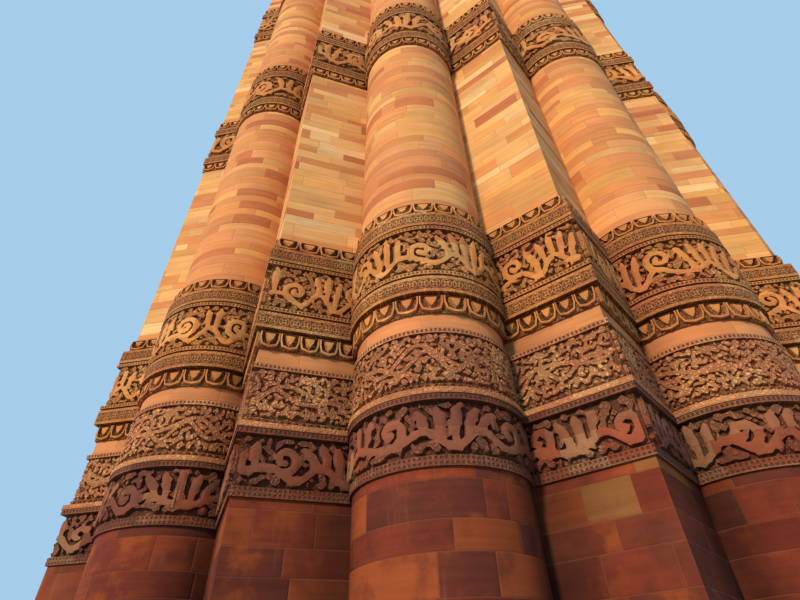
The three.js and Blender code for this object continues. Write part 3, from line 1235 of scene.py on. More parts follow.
@dataclass(frozen=True)
class Doorway:
    """A pointed-arch passage through the wall on the +Y side.

    ORDERS gives the mouldings round it: how far out each runs and how wide it is, as
    shares of the moulded band, its share of the relief, and its section. STEEPEST is the
    sine of the farthest turn to which they follow a round flute, and CLEARANCE how far the
    patch that they are laid on goes past them. LIFT is how far the passage starts over its
    sill, so that the cut doesn't touch the wall's underside.
    """

    half_width: float
    spring: float
    sill: float

    LIFT = 0.0005
    ORDERS = ((0.3, 0.5, 1.0, Section.FLAT), (0.78, 0.3, 0.6, Section.RIDGE))
    STEEPEST = 0.98
    CLEARANCE = 0.05

    def outline(self, spread: float = 0.0, arch_points: int = 9) -> Array:
        """(across, level) from the right foot over the point to the left foot.

        Each side is an arc of radius 1.5 half widths about a centre half a half width
        past the middle, moved out by spread.
        """
        offset = self.half_width / 2
        radius = self.half_width + offset + spread
        rise = math.acos(offset / radius)
        turn = np.linspace(0, rise, arch_points)
        right = np.column_stack([-offset + radius * np.cos(turn), self.spring + radius * np.sin(turn)])
        left = right[::-1][1:] * (-1, 1)
        feet = self.half_width + spread
        path = np.vstack([[feet, 0.0], right, left, [-feet, 0.0]])
        return path + (0.0, self.sill)

    def cutter(self, reach: float) -> Form:
        """The prism that the passage cuts, from the well out past the wall."""
        outline = self.outline()
        outline[[0, -1], 1] += self.LIFT
        count = len(outline)
        points = np.concatenate([np.column_stack([outline[:, 0], np.full(count, y), outline[:, 1]])
                                 for y in (0.0, reach)])
        sides = band_of_quads(2, count, False, True)[:, ::-1]
        ends = np.array([np.arange(count), count + np.arange(count)[::-1]])
        wall = np.column_stack([points[:, 1] + points[:, 0] * 0.3, points[:, 2]])
        return Form.on_points(points, [sides, ends], wall, np.tile([1.0, BARE], (len(points), 1)))

    def surround(self, storey: Storey, band: float, relief: float) -> list[Form]:
        """Moulded orders round the opening, laid on the facets that it crosses.

        Args:
            storey: The storey whose wall they are laid on.
            band: Width of all the orders together.
            relief: How far the first stands out of the wall.

        Returns:
            One form for each order on each facet.
        """
        top = float(self.outline(band)[:, 1].max()) + self.CLEARANCE
        forms = []
        for patch in storey.wall.patches(storey.level(self.sill), storey.level(top)):
            if patch.facet.flute != DOOR_FLUTE:
                continue
            for spread, width, height, section in self.ORDERS:
                path = self.outline(band * spread)
                across = path[:, 0]
                if patch.facet.curved:
                    turn = np.arcsin(np.clip(across / patch.bow, -self.STEEPEST, self.STEEPEST))
                    across = patch.bow * turn
                else:
                    across = across / abs(np.sin(np.arctan2(*patch.facet.normal[::-1])))
                    keep = across * patch.facet.hand >= -1e-6
                    across, path = across[keep], path[keep]
                flat = np.column_stack([across + patch.origin * patch.width, path[:, 1] - self.sill])
                bar = stroke(flat[::-1], band * width, relief * height, section)
                forms.append(bar.laid(patch, (patch.width, patch.height), relief))
        return forms


@dataclass(frozen=True)
class Masonry:
    """The ashlar wall of one storey, with its round well and its door.

    The mesh has a row of faces about every row_height. surround is the width and the
    relief of the mouldings round the door. CUT is how far the passage is cut, in radii of
    the storey's foot.
    """

    storey: Storey
    nodes: tuple[str, ...]
    slot: str
    row_height: float
    door: Doorway
    surround: tuple[float, float]

    CUT = 1.5

    def form(self) -> Form:
        """The closed wall: flutes outside, round well inside."""
        s = self.storey
        rows = max(2, round((s.wall_top - s.floor) / self.row_height))
        levels = [s.level(z) for z in np.linspace(s.floor, s.wall_top, rows + 1)]
        well = [Level(z, s.well * s.radius(z)) for z in (s.wall_top, s.floor)]
        return ring(s.wall, levels, well, s.steps, [BARE] * len(levels))

    def build(self, finish: bpy.types.Material) -> None:
        """Makes the wall, cuts its door and adds the moulding round it."""
        piece = self.form().build(f"{self.storey.name}_masonry", finish)
        cut(piece, self.door.cutter(self.storey.low * self.CUT), finish)
        finish_piece(piece, self.nodes)
        mouldings = Form.joined(self.door.surround(self.storey, *self.surround))
        finish_piece(mouldings.build(f"{self.storey.name}_door_moulding", finish))


def cut(piece: bpy.types.Object, form: Form, material: bpy.types.Material) -> None:
    """Cuts a closed form out of a piece and keeps the piece's own mesh object."""
    cutter = form.build("cutter", material)
    modifier = piece.modifiers.new("opening", "BOOLEAN")
    modifier.operation = "DIFFERENCE"
    modifier.solver = "EXACT"
    modifier.object = cutter
    bpy.context.view_layer.update()
    evaluated = piece.evaluated_get(bpy.context.evaluated_depsgraph_get())
    mesh = bpy.data.meshes.new_from_object(evaluated)
    mesh.name = piece.name
    piece.modifiers.clear()
    piece.data = mesh
    mesh.set_sharp_from_angle(angle=SMOOTH_ANGLE)
    bpy.data.objects.remove(cutter)


@dataclass(frozen=True)
class Gallery:
    """Corbels in tiers of small niches that carry a round deck.

    Each tier juts from one reach to the next. Inside a cell, c runs from -1 to 1 across
    and y from 0 to 1 up: a rib at the edge follows the square root of y, the niche in
    the middle follows 1 - sqrt(1 - y * y), and |c| cubed blends them.

    DECK is the thickness of the deck and its edge, and EDGE the edge's mouldings under
    and over its middle: (metres up, metres out) from the underside and from the top.
    STANDING says how far the edge's fillets and the rest of it count as standing out,
    and DEPTH how much less the niches do, so that the finish paints shade into the
    niches, deepest under their hoods. The flutes have faded ROUNDING times as soon as
    the tiers have reached their top.
    """

    storey: Storey
    node: str
    cells: tuple[int, ...] = (2, 2, 4)
    columns: int = 16
    rows: int = 5

    DECK = 0.3
    REACHES = (0.0, 0.42, 0.8, 1.0)
    EDGE = (((0.0, 0.0), (0.02, 0.03), (0.11, 0.03), (0.13, -0.02)),
            ((-0.1, -0.02), (-0.08, 0.02), (0.0, 0.02)))
    STANDING = (0.9, 0.3)
    WELL_RAISED = 0.2
    DEPTH = 0.85
    ROUNDING = 1.15

    def form(self) -> Form:
        """The closed gallery."""
        s = self.storey
        foot, under = s.wall_top, s.deck - self.DECK
        tip = s.radius(foot)
        angles = round_steps(FLUTES * self.columns)
        fluted = s.wall.radii(Level(foot, tip), angles)
        rows: list[tuple[Union[Array, float], float]] = [(s.well * tip, z) for z in (under, foot)]
        raised: list[Union[Array, float]] = [self.WELL_RAISED] * len(rows)
        tiers = len(self.cells)
        for tier, cells in enumerate(self.cells):
            phase = angles / FLUTE_PITCH * cells + 0.5 * (tier % 2)
            c = np.abs(2 * (phase - np.floor(phase)) - 1) ** 3
            start, stop = (reach * s.reach for reach in self.REACHES[tier:tier + 2])
            for y in np.linspace(0, 1, self.rows, endpoint=False):
                share = (tier + y) / tiers
                jut = (1 - math.sqrt(1 - y * y)) * (1 - c) + math.sqrt(y) * c
                outline = blend(fluted, tip, min(1.0, self.ROUNDING * share))
                rows.append((outline + blend(start, stop, jut), blend(foot, under, share)))
                # Niches count as standing out less towards their hoods, so the finish paints shade up
                # under the hoods.
                raised.append(self.STANDING[0] - (1 - c) * min(self.DEPTH, 2 * self.DEPTH * y))
        for level, mouldings in zip((under, s.deck), self.EDGE):
            for up, out in mouldings:
                rows.append((tip + s.reach + out, level + up))
                raised.append(self.STANDING[0] if out > 0 else self.STANDING[1])
        return turned_form(angles, rows, raised, False)

    def build(self, finish: bpy.types.Material) -> None:
        """Makes the gallery."""
        piece = self.form().build(f"{self.node}_corbels", finish)
        finish_piece(piece, [self.node])


@dataclass(frozen=True)
class Parapet:
    """A low wall round a deck, with a base, a coping and blind pointed arches.

    PROFILE is (metres up, metres out) from the base up; the back has half the mouldings.
    ARCADE gives the levels between which the arches stand, over the deck, and RAISED
    says how far the plain wall counts as standing out. An arch is drawn with a bar of
    width BAR, half of it is HALF of its share of the width, and it stands FOOT over the
    panel's foot. Its flower is FLOWER of its half width and hangs at HANG of the height.
    """

    storey: Storey
    node: str
    arch_pitch: float = 0.54

    THICKNESS = 0.22
    SETBACK = 0.1
    PROFILE = ((0.0, 0.03), (0.11, 0.03), (0.13, 0.0), (0.82, 0.0), (0.84, 0.03), (0.95, 0.035),
               (1.0, 0.0))
    COLUMNS = FLUTES * 6
    ARCADE = (0.16, 0.8)
    RAISED = 0.7
    RELIEF = 0.03
    BAR = 0.05
    HALF = 0.38
    RISE = 1.7
    FOOT = 0.02
    FLOWER = 0.42
    FLOWER_RELIEF = 0.02
    HANG = 0.52

    def build(self, finish: bpy.types.Material) -> None:
        """Makes the parapet."""
        s = self.storey
        outer = s.radius(s.wall_top) + s.reach - self.SETBACK
        inner = outer - self.THICKNESS
        rows = [(outer + out, s.deck + z) for z, out in self.PROFILE]
        rows += [(inner - out * 0.5, s.deck + z) for z, out in reversed(self.PROFILE)]
        body = turned_form(round_steps(self.COLUMNS), rows, [self.RAISED] * len(rows), True)
        low, high = (Level(s.deck + z, outer) for z in self.ARCADE)
        patches = Wall(Plan.PLAIN).patches(low, high)
        carving = self.arches(patches[0].width, patches[0].height)
        forms = [carving.laid(patch, (patch.width, patch.height), self.RELIEF) for patch in patches]
        piece = Form.joined([body, *forms]).build(f"{self.node}_wall", finish)
        finish_piece(piece, [self.node])

    def arches(self, width: float, height: float) -> Carving:
        """Blind pointed arches side by side, each with a small flower under its point."""
        count = max(1, round(width / self.arch_pitch))
        unit = width / count
        half = unit * self.HALF
        arch = Doorway(half, height - self.RISE * half, 0.0).outline(arch_points=4)[::-1]
        middles = np.column_stack([(np.arange(count) + 0.5) * unit, np.full(count, self.FOOT)])
        bars = stroke(arch, self.BAR, self.RELIEF).scattered(middles)
        flower = rosette(half * self.FLOWER, self.FLOWER_RELIEF, petals=4)
        return Carving.joined([bars, flower.scattered(middles + (0.0, height * self.HANG))])


@dataclass(frozen=True)
class Plinth:
    """The two-stepped round base.

    STEPS is (radius, level of its top) of each. EDGE is how much of an edge is worn
    round, and EYE the radius up to which the top is drawn in rings.
    """

    STEPS = ((7.8, 0.4), (7.45, 0.8))
    EDGE = 0.03
    EYE = 1.0
    COLUMNS = 192

    def build(self, finish: bpy.types.Material) -> None:
        """Makes the base with worn, rounded edges to its steps."""
        rows, bottom, worn = [], 0.0, 0.3 * self.EDGE
        for radius, top in self.STEPS:
            rows += [(radius, bottom), (radius, top - self.EDGE), (radius - worn, top - worn),
                     (radius - self.EDGE, top)]
            bottom = top
        rows.append((self.EYE, bottom))
        form = turned_form(round_steps(self.COLUMNS), rows, [BARE] * len(rows), False)
        finish_piece(form.build("plinth_steps", finish), ["plinth"])


# Shader work

Colour = tuple[float, float, float]


class Signal:
    """A value socket that is worked with like a number."""

    def __init__(self, bench: "Bench", socket: bpy.types.NodeSocket) -> None:
        """Wraps a socket of the bench's tree."""
        self.bench = bench
        self.socket = socket

    def __add__(self, other: Any) -> "Signal":
        """Sum."""
        return self.bench.math("ADD", self, other)

    def __sub__(self, other: Any) -> "Signal":
        """Difference."""
        return self.bench.math("SUBTRACT", self, other)

    def __rsub__(self, other: Any) -> "Signal":
        """Difference from a number."""
        return self.bench.math("SUBTRACT", other, self)

    def __mul__(self, other: Any) -> "Signal":
        """Product."""
        return self.bench.math("MULTIPLY", self, other)

    def __truediv__(self, other: Any) -> "Signal":
        """Quotient."""
        return self.bench.math("DIVIDE", self, other)

    def __rtruediv__(self, other: Any) -> "Signal":
        """Quotient of a number and it."""
        return self.bench.math("DIVIDE", other, self)

    __radd__ = __add__
    __rmul__ = __mul__

    def swing(self, spread: float) -> "Signal":
        """How far it is from a half, times the spread."""
        return (self - 0.5) * spread


class Bench:
    """A material in the making."""

    def __init__(self, name: str) -> None:
        """Starts an empty node tree with its shader."""
        self.material = bpy.data.materials.new(name)
        self.material.use_nodes = True
        self.tree = self.material.node_tree
        self.tree.nodes.clear()
        self.shader = self.node("ShaderNodeBsdfPrincipled", None, {"Specular IOR Level": 0.2})
        output = self.node("ShaderNodeOutputMaterial")
        self.tree.links.new(self.shader.outputs[0], output.inputs[0])

    def node(self, kind: str, settings: Union[dict[str, Any], None] = None,
             inputs: Union[dict[Any, Any], None] = None) -> bpy.types.Node:
        """Makes a node.

        Args:
            kind: Its type.
            settings: Properties to set first; "ramp" gives a colour ramp's stops and how it
                goes from one to the next.
            inputs: Values or links for its sockets, by name or number.

        Returns:
            The node.
        """
        made = self.tree.nodes.new(kind)
        for key, value in (settings or {}).items():
            if key == "ramp":
                self.fill_ramp(made.color_ramp, *value)
            else:
                setattr(made, key, value)
        for key, value in (inputs or {}).items():
            self.feed(made.inputs[key], value)
        return made

    def fill_ramp(self, ramp: bpy.types.ColorRamp, stops: "Palette", interpolation: str) -> None:
        """Sets the stops of a colour ramp, and how it goes from one to the next."""
        while len(ramp.elements) < len(stops):
            ramp.elements.new(0.5)
        ramp.interpolation = interpolation
        for element, (position, colour) in zip(ramp.elements, stops):
            element.position = position
            element.color = (*colour, 1.0)

    def feed(self, socket: bpy.types.NodeSocket, value: Any) -> None:
        """Links a socket, or sets its value."""
        if isinstance(value, Signal):
            value = value.socket
        if isinstance(value, bpy.types.NodeSocket):
            self.tree.links.new(value, socket)
        elif isinstance(value, tuple) and len(value) == 3 and socket.type == "RGBA":
            socket.default_value = (*value, 1.0)
        else:
            socket.default_value = value

    def math(self, operation: str, *values: Any, clamp: bool = False) -> Signal:
        """A Math node on up to three values."""
        made = self.node("ShaderNodeMath", {"operation": operation, "use_clamp": clamp},
                         dict(enumerate(values)))
        return Signal(self, made.outputs[0])

    def smooth(self, value: Any, low: float, high: float) -> Signal:
        """0 below low to 1 above high, eased at both ends; high may be the smaller."""
        made = self.node("ShaderNodeMapRange", {"interpolation_type": "SMOOTHSTEP", "clamp": True},
                         {0: value, 1: low, 2: high, 3: 0.0, 4: 1.0})
        return Signal(self, made.outputs[0])

    def mix(self, a: Any, b: Any, factor: Any, mode: str = "MIX") -> bpy.types.NodeSocket:
        """A colour between two colours, or another mixture of them."""
        made = self.node("ShaderNodeMix", {"data_type": "RGBA", "blend_type": mode},
                         {0: factor, 6: a, 7: b})
        return made.outputs[2]

    def shaded(self, colour: Any, value: Signal) -> bpy.types.NodeSocket:
        """A colour times a value."""
        grey = self.node("ShaderNodeCombineColor", None, {0: value, 1: value, 2: value})
        return self.mix(colour, grey.outputs[0], 1.0, "MULTIPLY")

    def ramp(self, value: Any, stops: "Palette",
             interpolation: str = "CONSTANT") -> bpy.types.NodeSocket:
        """A colour looked up along stops, which are steps unless told otherwise."""
        return self.node("ShaderNodeValToRGB", {"ramp": (stops, interpolation)}, {0: value}).outputs[0]

    def vector(self, x: Any, y: Any, z: Any) -> bpy.types.NodeSocket:
        """A vector from three values."""
        return self.node("ShaderNodeCombineXYZ", None, {0: x, 1: y, 2: z}).outputs[0]

    def noise(self, vector: Any, scale: float, detail: float, roughness: float) -> Signal:
        """Cloudy noise around 0.5."""
        made = self.node("ShaderNodeTexNoise", {"noise_dimensions": "3D"},
                         {"Vector": vector, "Scale": scale, "Detail": detail, "Roughness": roughness})
        return Signal(self, made.outputs[0])

    def cells(self, vector: Any, scale: float) -> Signal:
        """Distance from the walls of rounded cells."""
        made = self.node("ShaderNodeTexVoronoi", {"feature": "DISTANCE_TO_EDGE"},
                         {"Vector": vector, "Scale": scale})
        return Signal(self, made.outputs[0])

    def chance(self, x: Any, y: Any, seed: float) -> Signal:
        """A random value from 0 to 1 that stays the same for the same x and y."""
        made = self.node("ShaderNodeTexWhiteNoise", {"noise_dimensions": "3D"},
                         {"Vector": self.vector(x, y, seed)})
        return Signal(self, made.outputs[0])

    def layer(self, name: str) -> tuple[Signal, Signal]:
        """The two values of a UV layer."""
        uv = self.node("ShaderNodeUVMap", {"uv_map": name})
        parts = self.node("ShaderNodeSeparateXYZ", None, {0: uv.outputs[0]})
        return Signal(self, parts.outputs[0]), Signal(self, parts.outputs[1])

    def place(self) -> bpy.types.NodeSocket:
        """Object coordinates, in metres of the model."""
        return self.node("ShaderNodeTexCoord").outputs["Object"]

    def surface(self, colour: Any, roughness: Any) -> None:
        """Feeds the shader's colour and roughness."""
        self.feed(self.shader.inputs["Base Color"], colour)
        self.feed(self.shader.inputs["Roughness"], roughness)

    def bump(self, height: Signal, distance: float, strength: float) -> None:
        """Feeds the shader's normal with a bump."""
        made = self.node("ShaderNodeBump", None,
                         {"Height": height, "Distance": distance, "Strength": strength})
        self.feed(self.shader.inputs["Normal"], made.outputs[0])


def uneven(bench: Bench, value: Signal, spread: float, other: Any,
           seed: float) -> tuple[Signal, Signal]:
    """Splits a line into cells of uneven length.

    Each whole number n marks a joint, moved by a random share of spread. The cell is the
    one before or after the joint nearest to the value.

    Args:
        bench: The material.
        value: Place along the line, in mean cell lengths.
        spread: Most that two neighbouring joints move apart or together.
        other: Second value that the joints' places depend on.
        seed: Seed of the randomness.

    Returns:
        The cell's number, and the distance from the nearest joint.
    """
    near = bench.math("ROUND", value)
    gap = value - near - bench.chance(near, other, seed).swing(spread)
    cell = near - bench.math("LESS_THAN", gap, 0.0)
    return cell, bench.math("ABSOLUTE", gap)


@dataclass(frozen=True)
class Coursing:
    """Sizes of squared stones laid in courses, in metres, and the width of their joints.

    drift is how far the level joints wander, as a share of the height. In a course the
    mean length is SHORTEST to SHORTEST + 1 of the length, its stones start up to SHIFT
    stones further along, and upright joints wander by STAGGER of a stone. A joint is full
    up to CORE of its width.
    """

    height: float = 0.17
    length: float = 0.90
    joint: float = 0.007
    drift: float = 0.55

    SHORTEST = 0.55
    SHIFT = 11.0
    STAGGER = 0.6
    CORE = 0.35

    def stones(self, bench: Bench, along: Signal, up: Signal) -> tuple[Signal, Signal, Signal, Signal]:
        """Lays the stones.

        Args:
            bench: The material.
            along: Metres along the wall.
            up: Metres up the wall.

        Returns:
            Course number, stone number, distance from the nearest joint in metres, and
            1 on the joint to 0 off it.
        """
        course, above = uneven(bench, up / self.height, self.drift, 0.0, 3.0)
        length = (bench.chance(course, 5.0, 1.0) + self.SHORTEST) * self.length
        shifted = along / length + bench.chance(course, 9.0, 2.0) * self.SHIFT
        stone, beside = uneven(bench, shifted, self.STAGGER, course, 4.0)
        distance = bench.math("MINIMUM", above * self.height, beside * self.length)
        return course, stone, distance, bench.smooth(distance, self.joint, self.joint * self.CORE)


BUFF = (0.64, 0.335, 0.120)
YELLOW = (0.62, 0.30, 0.090)
ORANGE = (0.56, 0.225, 0.073)
SALMON = (0.53, 0.205, 0.078)
RUST = (0.44, 0.140, 0.053)
DEEP_RED = (0.178, 0.030, 0.013)
DARK_RED = (0.138, 0.022, 0.010)
OCHRE = (0.52, 0.205, 0.054)
MARBLE = (0.66, 0.60, 0.50)
GREY_MARBLE = (0.52, 0.46, 0.38)

Palette = tuple[tuple[float, Colour], ...]


def valley(bench: Bench, up: Signal) -> Signal:
    """How deep each place lies between two flutes of the first storey; it masks the painted shade
    there.

    The place's distance from the axis is taken as a share of the radius at the flute
    tips of its level.

    Args:
        bench: The material.
        up: Metres up the wall.

    Returns:
        1 deep between the flutes to 0 near their tips.
    """
    parts = bench.node("ShaderNodeSeparateXYZ", None, {0: bench.place()})
    x, y = (Signal(bench, parts.outputs[number]) for number in (0, 1))
    share = bench.math("SQRT", x * x + y * y) / ((1 - up * FOOT_TAPER) * (FOOT_RADIUS * MODEL_SCALE))
    near_tips, deep = 0.965, 0.905
    return bench.smooth(share, near_tips, deep)


@dataclass(frozen=True)
class Ashlar:
    """Coursed sandstone: every stone has its own shade, with fine bedding and weather stains.

    dado is the level under which the stones are dark red, smooth a stretch of levels with
    no joints to see. Flat and curved facets draw their shades from lists of their own.
    RUST_BLOTCH, DARK_BLOTCH and PALE_RUN are what weather leaves on the dado. Painted shade
    darkens the stone towards the bottom, and deep between the flutes of the lower wall.
    """

    name: str
    flat: Palette
    curved: Palette
    dado: float = 0.0
    smooth: tuple[float, float] = (0.0, 0.0)
    coursing: Coursing = Coursing()
    dado_coursing: Coursing = Coursing(height=0.28, length=0.68, joint=0.0065)
    roughness: float = 0.86

    DADO_SHADES = ((0.0, (0.112, 0.023, 0.013)), (0.22, DARK_RED), (0.42, DEEP_RED),
                   (0.70, (0.225, 0.042, 0.013)), (0.86, (0.27, 0.058, 0.016)),
                   (0.96, (0.24, 0.095, 0.028)))
    MORTAR = (0.26, 0.12, 0.065)
    DADO_MORTAR = (0.165, 0.060, 0.032)
    STAIN = (0.34, 0.125, 0.055)
    RUST_BLOTCH = (0.29, 0.062, 0.012)
    DARK_BLOTCH = (0.075, 0.018, 0.011)
    PALE_RUN = (0.26, 0.105, 0.055)
    SMOOTH_EDGE = 0.02

    def material(self) -> bpy.types.Material:
        """Makes the material."""
        bench = Bench(self.name)
        along, up = bench.layer("wall")
        is_flat, _ = bench.layer("traits")
        course, stone, distance, joint = laid = self.coursing.stones(bench, along, up)
        low = bench.math("LESS_THAN", up, self.dado) if self.dado else None
        if low is not None:
            large = self.dado_coursing.stones(bench, along, up)
            course, stone, distance, joint = (blend(*pair, low) for pair in zip(laid, large))
        pick, shade = bench.chance(course, stone, 21.0), bench.chance(course, stone, 22.0)
        colour = bench.mix(bench.ramp(pick, self.curved), bench.ramp(pick, self.flat), is_flat)
        mortar: Any = self.MORTAR
        if low is not None:
            colour = bench.mix(colour, self.dado_colour(bench, along, up, pick), low)
            mortar = bench.mix(mortar, self.DADO_MORTAR, low)
            bottom, top = self.smooth
            plain = bench.smooth(up, bottom - self.SMOOTH_EDGE, bottom) * \
                bench.smooth(up, top + self.SMOOTH_EDGE, top)
            colour = bench.mix(colour, SALMON, plain * 0.8)
            joint = joint * (1 - plain)
        bedding = bench.noise(bench.vector(along * 0.9, up * 20.0, stone * 3.1), 1.0, 3.0, 0.6)
        cloud = bench.noise(bench.vector(along, up, course * 0.7), 1.6, 4.0, 0.6)
        lift = shade.swing(0.24) + bedding.swing(0.52) + cloud.swing(0.55) + 1.0
        # Painted shade: darker towards the bottom, and deep between the flutes below about 7 m.
        painted_shade = bench.smooth(up, 4.6, 1.6) * 0.22 + valley(bench, up) * bench.smooth(up, 7.0, 3.2) * 0.5
        colour = bench.shaded(colour, lift * (1 - painted_shade))
        stain = bench.smooth(bench.noise(bench.place(), 0.5, 5.0, 0.65), 0.52, 0.70)
        colour = bench.mix(colour, self.STAIN, stain * 0.30)
        bench.surface(bench.mix(colour, mortar, joint * 0.34), self.roughness - bedding.swing(0.12))
        grain = bench.noise(bench.vector(along, up, 0.0), 46.0, 3.0, 0.6)
        edge = bench.smooth(distance, 0.0, self.coursing.joint * 1.8)
        bench.bump(edge * 0.45 + shade * 0.22 + grain * 0.16 + bedding * 0.20, 0.006, 0.5)
        return bench.material

    def dado_colour(self, bench: Bench, along: Signal, up: Signal,
                    pick: Signal) -> bpy.types.NodeSocket:
        """Dark red stones with rust and dark blotches, and pale upright runs over them."""
        colour = bench.ramp(pick, self.DADO_SHADES)
        blotch = bench.noise(bench.vector(along, up, pick * 3.0), 2.2, 4.0, 0.6)
        colour = bench.mix(colour, self.RUST_BLOTCH, bench.smooth(blotch, 0.52, 0.70) * 0.75)
        colour = bench.mix(colour, self.DARK_BLOTCH, bench.smooth(blotch, 0.50, 0.32) * 0.6)
        run = bench.noise(bench.vector(along * 9.0, up * 0.8, 0.0), 1.0, 5.0, 0.7)
        return bench.mix(colour, self.PALE_RUN, bench.smooth(run, 0.56, 0.72) * 0.25)


@dataclass(frozen=True)
class CarvedStone:
    """Carved sandstone in blocks of mixed tone, with painted shade: dark in the ground, lighter on top.

    zones are (level, palette) from the bottom up, each palette up to its level, and
    shades is the palette above them. ground is the colour of the painted shade deep in
    the carving, which darkens a place the more the lower it lies. Small leafy cells break
    that shade on the ground and draw painted shadow lines on the low growth, and a notched
    course has a row of square holes painted in it, as has the ground between the flowers.
    cell, notch and flower are the widths of one of each.
    """

    name: str
    shades: Palette
    ground: Colour = (0.055, 0.020, 0.011)
    zones: tuple[tuple[float, Palette], ...] = ()
    coursing: Coursing = Coursing(height=0.32, length=0.60, joint=0.006, drift=0.06)
    cell: float = 0.040
    notch: float = 0.045
    flower: float = 0.122

    JOINT = (0.12, 0.05, 0.03)
    ZONE_EDGE = 0.01
    RING = 0.43
    PETALS = 4
    PETAL_SWING = 0.09
    FLOWERS_MARK = 3.5

    def material(self) -> bpy.types.Material:
        """Makes the material."""
        bench = Bench(self.name)
        along, up = bench.layer("wall")
        rise, raised = bench.layer("traits")
        course, stone, _, joint = self.coursing.stones(bench, along, up)
        pick, shade = bench.chance(course, stone, 31.0), bench.chance(course, stone, 32.0)
        colour = bench.ramp(pick, self.shades)
        for level, palette in reversed(self.zones):
            under = bench.smooth(up, level + self.ZONE_EDGE, level - self.ZONE_EDGE)
            colour = bench.mix(colour, bench.ramp(pick, palette), under)
        cloud = bench.noise(bench.vector(along, up, 4.0), 6.0, 5.0, 0.65)
        patch = bench.noise(bench.vector(along, up, 9.0), 1.7, 3.0, 0.6)
        grain = bench.noise(bench.vector(along, up, 0.0), 38.0, 4.0, 0.65)
        lift = shade.swing(0.24) + cloud.swing(0.85) + patch.swing(0.5) + grain.swing(0.5) + 1.0
        # Dirt and painted shade deep between the flutes, fading out from 4 m to 20 m up.
        dirt_and_painted_shade = valley(bench, up) * bench.smooth(up, 20.0, 4.0) * 0.3
        colour = bench.shaded(colour, lift * (1 - dirt_and_painted_shade))
        swirl, drift = (bench.noise(bench.vector(along, up, depth), 9.0, 2.0, 0.5).swing(3.0)
                        for depth in (1.0, 2.0))
        leafy = bench.vector(along / self.cell + swirl, up / self.cell + drift, 0.0)
        leaves = bench.smooth(bench.cells(leafy, 1.0), 0.06, 0.24)
        hollow = bench.smooth(raised, 0.45, 0.05)
        across = bench.math("ABSOLUTE", bench.math("FRACT", along / self.notch) - 0.5)
        above = bench.math("ABSOLUTE", rise - 1.5)
        hole = bench.smooth(across, 0.27, 0.21) * bench.smooth(above, 0.30, 0.22)
        flowers = self.flowers(bench, along, rise)
        pits = bench.math("MAXIMUM", hole, flowers)
        growth = bench.smooth(raised, 0.89, 0.82) * bench.smooth(raised, 0.4, 0.6)
        # Painted shade in the ground of the carving, broken by the leafy cells, and painted shadow
        # lines between the cells on the low growth.
        carved = bench.math("MAXIMUM", hollow * (1 - leaves * 0.58), growth * (1 - leaves) * 0.62)
        # Painted shade also fills the notch holes and the ground between the flowers.
        deep = bench.math("MAXIMUM", carved, pits, clamp=True)
        # Painted shade that deepens the lower the carving lies, broken by cloudy noise.
        worn = bench.smooth(raised + cloud.swing(0.3), 0.95, 0.5) * 0.22
        # The ground colour is laid over all of these as the painted shade.
        colour = bench.mix(colour, self.ground, bench.math("MAXIMUM", deep * 0.86, worn))
        bench.surface(bench.mix(colour, self.JOINT, joint * 0.35), 0.84 + cloud.swing(0.14))
        relief = leaves * (hollow * 1.1 + growth * 0.8)
        bench.bump(grain * 0.45 + cloud * 0.4 + relief - pits * 1.6, 0.008, 0.8)
        return bench.material

    def flowers(self, bench: Bench, along: Signal, rise: Signal) -> Signal:
        """How deep each place lies between the flowers of a course that has the mark for them.

        In each square cell a ring holds a flower, whose edge swings out once for each of
        its petals.

        Args:
            bench: The material.
            along: Metres along the wall.
            rise: The first trait.

        Returns:
            1 between the flowers to 0 on them and off their courses.
        """
        across = bench.math("FRACT", along / self.flower) - 0.5
        above = bench.math("FRACT", rise) - 0.5
        radius = bench.math("SQRT", across * across + above * above)
        swing = bench.math("COSINE", bench.math("ARCTAN2", above, across) * self.PETALS)
        outer = bench.smooth(bench.math("ABSOLUTE", radius - self.RING), 0.07, 0.03)
        petals = bench.smooth(radius + swing * self.PETAL_SWING, 0.29, 0.22) * \
            bench.smooth(radius, 0.05, 0.11)
        stands = bench.math("MAXIMUM", outer, petals)
        return (1 - stands) * bench.math("COMPARE", rise, self.FLOWERS_MARK, 0.5)


@dataclass(frozen=True)
class Marble:
    """Weathered white marble in courses, with some red sandstone courses between them.

    RED is the two ends of those courses' shades.
    """

    name: str = "white_marble"
    coursing: Coursing = Coursing(height=0.34, length=1.0, joint=0.006)
    red_share: float = 0.24

    VEIN = (0.42, 0.38, 0.33)
    RED = ((0.38, 0.115, 0.048), (0.47, 0.160, 0.062))
    STREAK = (0.20, 0.16, 0.12)
    JOINT = (0.22, 0.18, 0.14)

    def material(self) -> bpy.types.Material:
        """Makes the material."""
        bench = Bench(self.name)
        along, up = bench.layer("wall")
        course, stone, distance, joint = self.coursing.stones(bench, along, up)
        shade = bench.chance(course, stone, 41.0)
        cloud = bench.noise(bench.vector(along, up, 2.0), 2.4, 5.0, 0.6)
        vein = bench.noise(bench.vector(along * 0.8, up * 2.0, stone), 3.0, 6.0, 0.7)
        white = bench.mix(MARBLE, GREY_MARBLE, (shade * 0.5 + (cloud - 0.3)) * 0.7)
        white = bench.mix(white, self.VEIN, bench.smooth(vein, 0.52, 0.60) * 0.28)
        is_red = bench.math("LESS_THAN", bench.chance(course, 0.0, 43.0), self.red_share)
        colour = bench.mix(white, bench.mix(*self.RED, shade), is_red)
        streak = bench.noise(bench.vector(along * 3.0, up * 0.35, 0.0), 1.0, 4.0, 0.6)
        colour = bench.mix(colour, self.STREAK, bench.smooth(streak, 0.52, 0.75) * 0.35)
        colour = bench.mix(colour, self.JOINT, joint * 0.6)
        bench.surface(colour, 0.52 + cloud * 0.2 + is_red * 0.15)
        bench.bump(bench.smooth(distance, 0.0, 0.015) + cloud * 0.3, 0.005, 0.6)
        return bench.material


